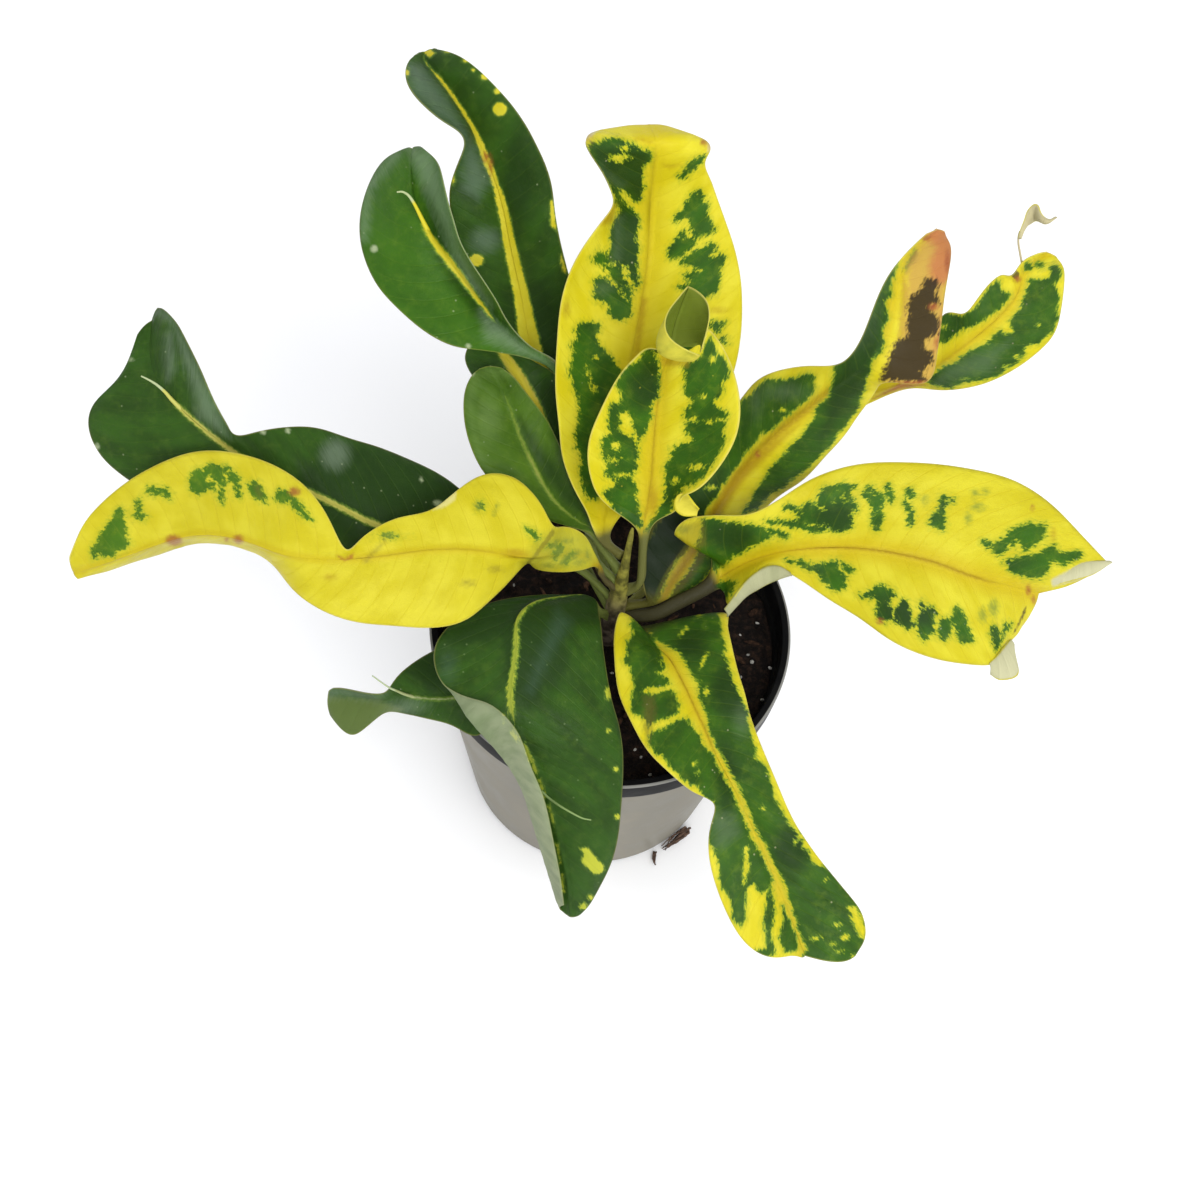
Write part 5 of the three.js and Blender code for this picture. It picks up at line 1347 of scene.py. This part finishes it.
                    (785, 951), (781, 944), (780, 936), (782, 928), (784, 920), (783, 912)],
                [(655, 641), (665, 634), (676, 634), (684, 628), (690, 621), (700, 615), (712, 613),
                    (718, 615), (718, 622), (714, 630), (708, 638), (703, 646), (698, 655), (693, 664),
                    (690, 670), (687, 664), (685, 656), (680, 650), (672, 647), (662, 643)],
                [(712, 640), (716, 636), (720, 636), (724, 641), (725, 650), (722, 655), (726, 660),
                    (728, 667), (731, 675), (732, 684), (737, 690), (740, 700), (743, 708), (748, 713),
                    (746, 722), (751, 733), (752, 742), (755, 750), (754, 757), (760, 762), (766, 767),
                    (768, 776), (771, 785), (772, 795), (774, 800), (778, 805), (780, 812), (785, 818),
                    (790, 826), (797, 833), (803, 838), (801, 846), (806, 851), (809, 858), (815, 865),
                    (822, 866), (832, 870), (842, 880), (852, 890), (858, 901), (862, 910), (860, 918),
                    (866, 926), (868, 938), (868, 952), (857, 970), (838, 975), (825, 975), (812, 967),
                    (802, 957), (807, 950), (805, 944), (802, 937), (799, 930), (797, 920), (793, 910),
                    (790, 900), (788, 890), (783, 879), (778, 869), (773, 860), (769, 850), (766, 842),
                    (761, 836), (757, 829), (754, 820), (751, 811), (746, 802), (742, 793), (737, 782),
                    (732, 773), (728, 764), (722, 753), (717, 746), (713, 738), (710, 730), (708, 720),
                    (706, 710), (702, 703), (699, 697), (699, 688), (701, 681), (697, 679), (692, 675),
                    (696, 671), (703, 668), (709, 660), (711, 652), (706, 652), (702, 658), (705, 648),
                    (709, 644)]),
            patch("yellow",
                [(744, 848), (748, 846), (749, 855), (750, 866), (748, 876), (745, 885), (741, 886),
                    (742, 876), (742, 864), (743, 856)], [(678, 635), (688, 627), (690, 629), (681, 637)],
                [(699, 669), (702, 659), (707, 651), (710, 653), (705, 663), (701, 670)],
                (668, 622, 5, 1.6), (700, 618, 3, 1.6), (707, 692, 3, 4), (658, 673, 2.5, 2),
                (633, 680, 2, 2), (695, 764, 3, 2.5), (697, 773, 2, 2), (763, 808, 2.5, 3),
                (795, 842, 3, 3), (802, 836, 5, 4), (825, 880, 3, 2.5), (837, 925, 3, 2),
                (816, 938, 5.5, 3), (845, 937, 4.5, 3), (832, 944, 4, 2), (839, 951, 3.5, 1.8),
                (855, 956, 4, 2),
                [(846, 904), (857, 906), (868, 930), (866, 942), (858, 937), (851, 920)]),
            # Darker green, partly leaf colour and partly painted shade.
            patch("deep", (735, 690, 22, 30), (690, 645, 16, 12), (790, 850, 16, 26), (725, 770, 10, 30)),
            # Painted sheen: lighter grey-green patches that stand for a highlight.
            patch("grey", [(712, 812), (735, 816), (738, 835), (725, 848), (714, 846)],
                (742, 722, 8, 14)),
            patch("brown", [(643, 696), (655, 696), (656, 712), (649, 746), (643, 730)]),
        ],
    ),
    "leaf_back_left_tall": look(
        DARK, grey="7d9180",
        rib_band=[
            (0, 4.2), (3, 3.8), (4, 3.0), (6, 2.3), (7, 1.8), (9, 2.0), (11, 1.6), (13, 1.3),
            (14, 0.7), (16, 0.4),
        ],
        patches=[
            # Darker green, partly leaf colour and partly painted shade.
            patch("deep", [(500, 290), (545, 280), (585, 390), (570, 470), (520, 380)], (428, 62, 7, 5),
                (520, 180, 14, 40)),
            patch("yellow", (500, 109, 8, 7.5), (476, 260, 9, 7),
                [(421, 52), (431, 48), (437, 54), (430, 59)], (447, 52, 4, 2), (466, 61, 5, 3),
                (473, 70, 2.5, 2.5), (485, 77, 5, 4), (498, 91, 5, 4), (407, 73, 3, 5), (453, 180, 3, 7),
                [(549, 200), (554, 198), (558, 233), (550, 226)],
                [(558, 252), (562, 253), (570, 277), (561, 271)]),
            # Painted sheen: lighter grey-green patches that stand for a highlight.
            patch("grey",
                [(405, 62), (422, 66), (440, 86), (468, 132), (490, 180), (478, 200), (462, 190),
                    (464, 140), (440, 118), (412, 94)], (485, 240, 14, 12)),
            patch("rust", (486, 157, 3, 5), (491, 165, 2, 7)),
        ],
    ),
    "leaf_back_left_broad": look(
        MID, grey="9db692",
        rib_band=[(0, -1), (2.6, -1), (3.4, 0.8), (5, 1.4), (7, 1.6), (8.4, 1.1), (8.8, -1), (13, -1)],
        patches=[
            # Darker green, partly leaf colour and partly painted shade.
            patch("deep", [(425, 190), (445, 240), (490, 300), (520, 345), (480, 320), (440, 262)]),
            patch("pale", (374.5, 249, 4, 4), (468, 346, 3, 2.5)),
            # Painted sheen: lighter grey-green patches that stand for a highlight.
            patch("grey",
                [(408, 150), (430, 150), (448, 195), (462, 250), (492, 305), (470, 285), (440, 225),
                    (420, 180)], [(480, 312), (520, 340), (553, 362), (553, 368), (515, 353), (485, 340)],
                [(360, 240), (364, 190), (395, 152), (400, 156), (372, 190), (367, 240)]),
        ],
    ),
    "leaf_behind_left": look(
        DARK, rib_band=[(0, 2), (3, 2.4), (5, 2.6), (6, 2)], yellow=("c9bd45", "b8ab30"),
        patches=[
            # Darker green, partly leaf colour and partly painted shade.
            patch("deep", (540, 430, 40, 50)),
        ],
    ),
    "leaf_mid_left": look(
        MID, rib_band=[(0, 0.5), (3, 0.9), (5, 0.6), (6.5, 0), (8, -1)], yellow=("a3ad4c", "98a545"),
        rib="8f9a40", greens=("6f8c28", "4f7412", "3f620c"), grey="7c9a52",
        patches=[
            # Darker green, partly leaf colour and partly painted shade.
            patch("deep", [(520, 420), (560, 470), (590, 520), (560, 500), (530, 455)]),
            patch("pale", (472, 374, 3, 2.5)),
            # Painted sheen: lighter grey-green patches that stand for a highlight.
            patch("grey",
                [(464, 400), (472, 376), (480, 372), (474, 400), (478, 440), (488, 470), (476, 455)],
                (500, 372, 20, 5), (488, 420, 12, 22)),
        ],
    ),
    "leaf_far_left_dark": look(
        DARK, grey="93a78c", yellow=("d3d27a", "c8c75e"), rib="c6c04c",
        rib_band=[(0, 1.4), (8, 1.3), (10, 1.5), (12, 1.1), (12.4, -1), (16, -1)],
        patches=[
            # Darker green, partly leaf colour and partly painted shade.
            patch("deep",
                [(330, 440), (400, 455), (470, 490), (510, 545), (440, 575), (350, 545), (300, 480)]),
            # Painted sheen: lighter grey-green patches that stand for a highlight.
            patch("grey",
                [(160, 308), (170, 315), (180, 332), (190, 352), (200, 372), (210, 392), (216, 402),
                    (221, 415), (230, 438), (222, 435), (212, 428), (200, 418), (196, 405), (195, 392),
                    (190, 378), (184, 362), (181, 345), (176, 330), (170, 322), (160, 318), (153, 312)],
                [(166, 335), (172, 330), (175, 370), (168, 380)], (335, 455, 14, 15)),
            patch("pale", (288, 431, 3, 3), (97, 447, 3.5, 4), (263, 432, 3, 3), (421, 480, 2, 3),
                (437, 503, 5, 3), (131, 360, 3, 2)),
        ],
    ),
    "leaf_low_left_dark": look(
        DARK, rib_band=[(0, 0.6), (3.6, 0.7), (4, -1), (8, -1)], yellow=("aab27e", "9ea870"),
        rib="9ea870", olive="64773a", grey="8a9c84", horn_radii=(0.55, 0.2),
        patches=[
            # Darker green, partly leaf colour and partly painted shade.
            patch("deep", [(400, 665), (470, 640), (500, 640), (500, 700), (430, 690)]),
            patch("olive",
                [(322, 696), (350, 697), (380, 700), (404, 708), (398, 716), (350, 740), (330, 722)]),
            # Painted sheen: lighter grey-green patches that stand for a highlight.
            patch("grey", [(322, 700), (325, 686), (345, 688), (386, 694), (378, 700), (340, 696)],
                (408, 706, 14, 6)),
            patch("yellow", (346, 735, 6, 3)),
        ],
    ),
    "leaf_front_left_dark": look(
        DARK, rib_band=[(0, 0.7), (2, 1.0), (5, 1.4), (6, 1.5), (7, -1), (13, -1)],
        yellow=("cdd03a", "b9c034"), rib="93a535", horn_pale=-1, horn_radii=(0.45, 0.2), pale="86a066",
        ragged=3.5, grey="476250", under=("a8b18c", 0.85),
        under_rows=[(0, 0.15), (4, 0.3), (6, 0.75), (9, 1)],
        patches=[
            # Darker green, partly leaf colour and partly painted shade.
            patch("deep",
                [(430, 580), (600, 585), (600, 622), (572, 630), (560, 668), (530, 710), (512, 700),
                    (500, 640), (440, 650)], (545, 650, 24, 40)),
            patch("yellow",
                [(578, 847), (588, 846), (593, 852), (598, 858), (604, 864), (606, 870), (602, 873),
                    (594, 875), (588, 870), (582, 864), (580, 858), (583, 853)], (583, 906, 5, 4.5),
                (590, 897, 4, 3), [(497, 711), (504, 713), (509, 722), (504, 726)],
                [(508, 724), (516, 729), (522, 740), (520, 748), (511, 736)],
                [(521, 742), (525, 741), (533, 756), (539, 772), (536, 776), (528, 760)],
                [(537, 778), (541, 777), (547, 794), (545, 800), (540, 790)],
                [(546, 804), (550, 803), (556, 822), (554, 828)],
                [(555, 842), (559, 842), (562, 862), (559, 866)],
                [(560, 872), (564, 872), (566, 892), (562, 894)], (608, 693, 4.5, 7), (616, 769, 4, 4),
                (617, 817, 3.5, 3.5), (608, 731, 3.5, 3.5)),
            # Painted sheen: lighter grey-green patches that stand for a highlight.
            patch("grey", [(556, 608), (572, 622), (548, 660), (532, 695), (526, 690), (545, 640)],
                (448, 668, 8, 14)),
        ],
    ),
}


# ---- The stem ----
def build_stem():
    sides, stations = 40, 120
    heights = np.linspace(STEM_BOTTOM, STEM_TOP + STEM_TIP, stations)
    path = np.array([stem_centre(h) for h in heights])
    radii = np.array([stem_radius(min(h, STEM_TOP)) for h in heights])
    radii *= 1 - STEM_TAPER * smoothstep(heights, STEM_TAPER_START, STEM_TOP)
    radii *= np.sqrt(np.clip((heights[-1] + 0.1 * STEM_TIP - heights) / STEM_TIP, 0, 1))
    vertices, faces = tube(path, radii, sides)
    rings = vertices.reshape(len(path), sides, 3)
    outward = unit(rings - path[:, None])
    up = np.repeat(heights[:, None], sides, axis=1) / MM
    turn = np.repeat(np.linspace(0, 2 * math.pi, sides, endpoint=False)[None], len(path), axis=0) * 4
    bark = 0.1 * wobble(up, turn, 3, SEED) + 0.15 * wobble(up, turn, 9, SEED + 1)
    young = smoothstep(up, 102, 122)
    rings = rings + outward * (bark * (1 - 0.85 * young) * MM)[..., None]
    piece = make_piece("stem_bark", rings.reshape(-1, 3), faces, "bark", dict(young=young))
    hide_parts("stem")
    piece.data.materials.append(bark_material())


def bark_material():
    s = Shader("bark")
    streak = s.noise(s.place(), 260.0, 4.0, 0.6)
    old = s.mix(s.step(streak, 0.35, 0.65), linear("3b3228"), linear("76685a"))
    young = s.mix(s.step(streak, 0.35, 0.65), linear("55531f"), linear("96913a"))
    colour = s.mix(s.value("young"), old, young)
    return s.finish(colour, 0.7, streak, 0.0004, Specular_IOR_Level=0.2)


# ---- The soil ----
def build_soil():
    segments, rings = 150, 60
    side = wall_radius(SOIL_TOP) - WALL - SOIL_GAP
    radius = side * np.linspace(0, 1, rings + 1)[1:] ** 0.8
    angle = np.linspace(0, 2 * math.pi, segments, endpoint=False)
    x = radius[:, None] * np.cos(angle)
    y = radius[:, None] * np.sin(angle)
    lump = 0.9 * wobble(x / MM, y / MM, 14, SEED) + 0.5 * wobble(x / MM, y / MM, 4, SEED + 2)
    lump += 0.3 * wobble(x / MM, y / MM, 1.9, SEED + 3)
    z = SOIL_TOP + SOIL_CROWN * (1 - radius[:, None] / side) + lump * 0.55 * MM
    foot = SOIL_TOP - SOIL_DEPTH
    top = np.stack([x, y, z], -1).reshape(-1, 3)
    low = np.stack([x[-1], y[-1], np.full(segments, foot)], -1)
    vertices = np.vstack([top, low, [(0, 0, SOIL_TOP + SOIL_CROWN)], [(0, 0, foot)]])
    hub, under = len(vertices) - 2, len(vertices) - 1
    faces = [(a, d, c, b) for a, b, c, d in band_faces(rings + 1, segments)]
    for k in range(segments):
        after = (k + 1) % segments
        faces.append((hub, k, after))
        faces.append((under, rings * segments + after, rings * segments + k))
    chip, perlite = np.zeros(len(vertices)), np.zeros(len(vertices))
    for centre, size, is_perlite in soil_bits(side):
        bit, bit_faces = rough_bit(centre, size, len(vertices))
        vertices, faces = joined(vertices, faces, bit, bit_faces)
        perlite = np.append(perlite, np.full(len(bit), float(is_perlite)))
        chip = np.append(chip, np.full(len(bit), 1.0 - is_perlite))
    piece = make_piece("soil_surface", vertices, faces, "potting_mix", dict(perlite=perlite, chip=chip))
    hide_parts("soil")
    piece.data.materials.append(soil_material())


# White perlite grains that show in the view, in pixels.
PERLITE_SEEN = [(757, 623), (740, 635), (748, 655), (778, 648), (779, 624), (776, 652), (741, 677),
    (752, 662), (762, 700), (770, 668), (635, 750), (641, 757), (612, 673), (620, 742), (650, 775),
    (643, 640), (735, 600), (726, 640)]
LOOSE_BITS = 130
BITS_TO_A_GRAIN = 10  # every tenth bit is perlite and the others are bark


def soil_bits(side):
    """Places, half sizes and whether it is perlite, of the grains and bark chips on the soil."""
    chance = np.random.default_rng(SEED)
    for x, y in PERLITE_SEEN:
        size = chance.uniform(0.35, 0.85, 3) * MM
        yield at([(x, y, SOIL_TOP / MM + 0.9)])[0], size, True
    for index in range(LOOSE_BITS):
        reach = side * 0.97 * math.sqrt(chance.uniform(0, 1))
        angle = chance.uniform(0, 2 * math.pi)
        place = np.array((reach * math.cos(angle), reach * math.sin(angle), SOIL_TOP + 0.0012))
        if index % BITS_TO_A_GRAIN:
            yield place, chance.uniform((1.0, 0.4, 0.25), (3.4, 1.2, 0.7)) * MM, False
        else:
            yield place, chance.uniform(0.3, 0.8, 3) * MM, True


def rough_bit(centre, size, seed):
    """Vertices and faces of one lumpy grain, turned at random."""
    chance = np.random.default_rng(seed)
    sides, bands = 8, 5
    turn = np.linspace(0, 2 * math.pi, sides, endpoint=False)
    rise = np.linspace(-1.35, 1.35, bands)[:, None]
    across = np.cos(rise)
    ball = np.stack([across * np.cos(turn), across * np.sin(turn), np.sin(rise) + 0 * turn], -1)
    ball = ball * chance.uniform(0.75, 1.15, (bands, sides, 1)) * size
    heading = Matrix.Rotation(chance.uniform(0, 2 * math.pi), 3, "Z")
    tilt = Matrix.Rotation(chance.uniform(-0.3, 0.3), 3, "X")
    return centre + ball.reshape(-1, 3) @ np.array(heading @ tilt).T, skin_faces(bands, sides)


def soil_material():
    s = Shader("potting_mix")
    grain = s.noise(s.place(), 420.0, 5.0, 0.7)
    damp = s.noise(s.place(), 90.0, 3.0)
    colour = s.mix(s.step(grain, 0.42, 0.72), linear("120d0b"), linear("38281f"))
    colour = s.mix(s.step(damp, 0.4, 0.7, 0.0, 0.6), colour, linear("0b0807"))
    fibre = s.mix(s.step(grain, 0.35, 0.7), linear("2a1c14"), linear("5d4230"))
    colour = s.mix(s.value("chip"), colour, fibre)
    white = s.mix(s.step(grain, 0.35, 0.6), linear("8c8a84"), linear("c4c2bb"))
    colour = s.mix(s.value("perlite"), colour, white)
    return s.finish(colour, 0.95, grain, 0.0012, Specular_IOR_Level=0.15)


# ---- The pot ----
def wall_radius(height):
    """The pot's outer radius at a height below its rim."""
    return BASE_RADIUS + (RIM_RADIUS - RIM_STEP - BASE_RADIUS) * height / WALL_TOP


def rounded(profile, radius, steps=4):
    """The profile with each inner corner turned into a short curve."""
    points = [np.array(p, float) for p in profile]
    line = [points[0]]
    for before, corner, after in zip(points, points[1:], points[2:]):
        room = min(np.linalg.norm(before - corner), np.linalg.norm(after - corner))
        reach = min(radius, 0.45 * room)
        start = corner + unit(before - corner) * reach
        end = corner + unit(after - corner) * reach
        for t in np.linspace(0, 1, steps + 1):
            line.append(start * (1 - t) ** 2 + corner * 2 * t * (1 - t) + end * t * t)
    return np.array(line + [points[-1]])


def pot_profile():
    """The radius and height of points from the centre of the foot, over the rim, to the inner floor."""
    inside = RIM_RADIUS - WALL - RIM_THICKENING
    outer = [(0.0, 0.0012), (0.040, 0.0012), (0.0405, 0.0), (BASE_RADIUS - 0.0016, 0.0)]
    outer += [(wall_radius(height), height) for height in (0.0016, 0.030, 0.060, WALL_TOP)]
    outer += [(RIM_RADIUS - 0.0004, WALL_TOP), (RIM_RADIUS, POT_HEIGHT - 2 * LIP_EDGE)]
    inner = [(RIM_RADIUS, POT_HEIGHT), (RIM_RADIUS - 2 * LIP_EDGE, POT_HEIGHT), (inside, POT_HEIGHT)]
    inner += [(inside - 0.0002, WALL_TOP + 0.0007)]
    inner += [(wall_radius(height) - WALL, height) for height in (WALL_TOP - 0.002, 0.04, 0.004)]
    inner += [(BASE_RADIUS - 0.004, FLOOR_THICKNESS), (0.0, FLOOR_THICKNESS)]
    return rounded(outer + inner, 0.0009)


def build_pot():
    profile = pot_profile()
    segments = 160
    angle = np.linspace(0, 2 * math.pi, segments, endpoint=False)
    body = profile[1:-1]
    x = body[:, 0][:, None] * np.cos(angle)
    y = body[:, 0][:, None] * np.sin(angle)
    z = np.repeat(body[:, 1][:, None], segments, axis=1)
    hubs = [(0, 0, profile[0][1]), (0, 0, profile[-1][1])]
    vertices = np.vstack([np.stack([x, y, z], -1).reshape(-1, 3), hubs])
    first, last = len(vertices) - 2, len(vertices) - 1
    faces = band_faces(len(body), segments)
    end = (len(body) - 1) * segments
    for k in range(segments):
        after = (k + 1) % segments
        faces.append((first, after, k))
        faces.append((last, end + k, end + after))
    across, height = np.hypot(vertices[:, 0], vertices[:, 1]), vertices[:, 2]
    on_wall = np.abs(across - wall_radius(height)) < 0.0004
    grey = on_wall & (height < WALL_TOP - 0.0003) & (height > 0.0001)
    # The lip's rounded outer edge, where the material paints a thin highlight.
    painted_lip_highlight = (across > RIM_RADIUS - LIP_EDGE) & (height > POT_HEIGHT - LIP_EDGE)
    values = dict(grey=grey.astype(float), painted_lip_highlight=painted_lip_highlight.astype(float))
    piece = make_piece("pot_shell", vertices, faces, "pot_plastic", values)
    cut_drain_holes(piece)
    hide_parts("pot")
    piece.data.materials.append(pot_material())


def cut_drain_holes(pot):
    """Cuts the round holes through the pot's floor."""
    for index in range(DRAIN_HOLES):
        angle = 2 * math.pi * (index + 0.5) / DRAIN_HOLES
        centre = np.array((math.cos(angle), math.sin(angle), 0)) * DRAIN_CIRCLE_RADIUS
        path = centre + np.array([(0, 0, -0.004), (0, 0, 0.008)])
        vertices, faces = tube(path, (DRAIN_HOLE_RADIUS, DRAIN_HOLE_RADIUS), 32)
        mesh = bpy.data.meshes.new("hole")
        mesh.from_pydata([tuple(v) for v in vertices], [], faces)
        cutter = bpy.data.objects.new("hole", mesh)
        bpy.context.scene.collection.objects.link(cutter)
        cut = pot.modifiers.new("drain", "BOOLEAN")
        cut.operation = "DIFFERENCE"
        cut.object = cutter
        cut.solver = "EXACT"
        bpy.context.view_layer.objects.active = pot
        bpy.ops.object.modifier_apply(modifier=cut.name)
        bpy.data.objects.remove(cutter)


def pot_material():
    s = Shader("pot_plastic")
    dust = s.noise(s.place(), 60.0, 4.0, 0.6)
    fine = s.noise(s.place(), 700.0, 2.0)
    grey = s.mix(s.step(dust, 0.35, 0.7), linear("8a867a"), linear("989386"))
    black = s.mix(s.step(dust, 0.45, 0.75), linear("121213"), linear("201f1e"))
    # The pale grey on the lip is a painted highlight.
    black = s.mix(s.math("MULTIPLY", s.value("painted_lip_highlight"), 0.7), black, linear("a3a29c"))
    colour = s.mix(s.step(s.value("grey"), 0.45, 0.55), black, grey)
    roughness = s.step(dust, 0.3, 0.7, 0.3, 0.48)
    return s.finish(colour, roughness, fine, 0.00003, Specular_IOR_Level=0.025)


# ---- Dried root ends at the foot of the pot ----
# Each root end: its piece, the node it replaces, its readings, strands and half width in mm.
ROOTS = [
    ("root_scrap_dried", "root_scrap", [(688, 830, 2.4), (676, 839, 2.6), (664, 848, 2)], 11, 1.2),
    ("root_tip_dried", "root_tip", [(655, 853, 1.4), (654, 858, 1.2), (655, 864, 1)], 3, 0.5),
]


def build_roots():
    """Root ends as loose bundles of thin, crooked strands."""
    for name, node, readings, strands, spread in ROOTS:
        chance = np.random.default_rng(SEED)
        vertices, faces = np.zeros((0, 3)), []
        for _ in range(strands):
            points = at(readings)
            points = points + chance.uniform(-spread, spread, points.shape) * (1, 1, 0.7) * MM
            points[:, 2] = np.maximum(points[:, 2], 0.5 * MM)
            line = evened(rail(points, 40), 2)
            line = line + chance.normal(0, 0.07, line.shape) * MM
            radii = np.linspace(chance.uniform(0.35, 0.6), 0.16, len(line)) * MM
            strand, strand_faces = tube(line, radii, 7)
            vertices, faces = joined(vertices, faces, strand, strand_faces)
        piece = make_piece(name, vertices, faces, "dried_root")
        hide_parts(node)
        piece.data.materials.append(root_material(name))


def root_material(name):
    s = Shader(name)
    grain = s.noise(s.place(), 600.0, 4.0, 0.6)
    colour = s.mix(s.step(grain, 0.35, 0.65), linear("3b2a20"), linear("6f5443"))
    return s.finish(colour, 0.9, grain, 0.0006)


# ---- Floor, light and camera ----
def make_floor():
    mesh = bpy.data.meshes.new("floor")
    reach = 4.0
    corners = [(-reach, -reach, 0), (reach, -reach, 0), (reach, reach, 0), (-reach, reach, 0)]
    mesh.from_pydata(corners, [], [(0, 1, 2, 3)])
    floor = bpy.data.objects.new("floor", mesh)
    bpy.context.scene.collection.objects.link(floor)
    s = Shader("floor")
    mesh.materials.append(s.finish(linear("f4f4f5", 1.0), 0.9))


def add_light(name, place, aim, size, power):
    data = bpy.data.lights.new(name, "AREA")
    data.shape = "DISK"
    data.size = size
    data.energy = power
    light = bpy.data.objects.new(name, data)
    light.location = place
    light.rotation_euler = (Vector(aim) - Vector(place)).to_track_quat("-Z", "Y").to_euler()
    bpy.context.scene.collection.objects.link(light)


def make_light():
    world = bpy.data.worlds.new("studio")
    world.use_nodes = True
    world.node_tree.nodes["Background"].inputs["Color"].default_value = linear("fbfcff", 1.0)
    world.node_tree.nodes["Background"].inputs["Strength"].default_value = 1.0
    bpy.context.scene.world = world
    add_light("key", (0.4, -0.85, 1.15), (0, 0, 0.12), 1.2, 17)
    bpy.context.scene.view_settings.view_transform = "Standard"


def make_camera():
    data = bpy.data.cameras.new("camera")
    data.sensor_width = 36
    data.lens = 36 * VIEW_FOCAL / (2 * VIEW_CENTRE)
    camera = bpy.data.objects.new("camera", data)
    axes = Matrix((VIEW_RIGHT, VIEW_UP, -VIEW_FORWARD)).transposed().to_4x4()
    camera.matrix_world = Matrix.Translation(VIEW_EYE) @ axes
    bpy.context.scene.collection.objects.link(camera)
    bpy.context.scene.camera = camera


# ---- The scene ----
make_camera()
make_floor()
make_light()
build_pot()
build_soil()
build_stem()
for order, (leaf_name, leaf_rails) in enumerate(LEAVES.items()):
    build_leaf(leaf_name, leaf_rails, SEED + 10 * order)
build_roots()
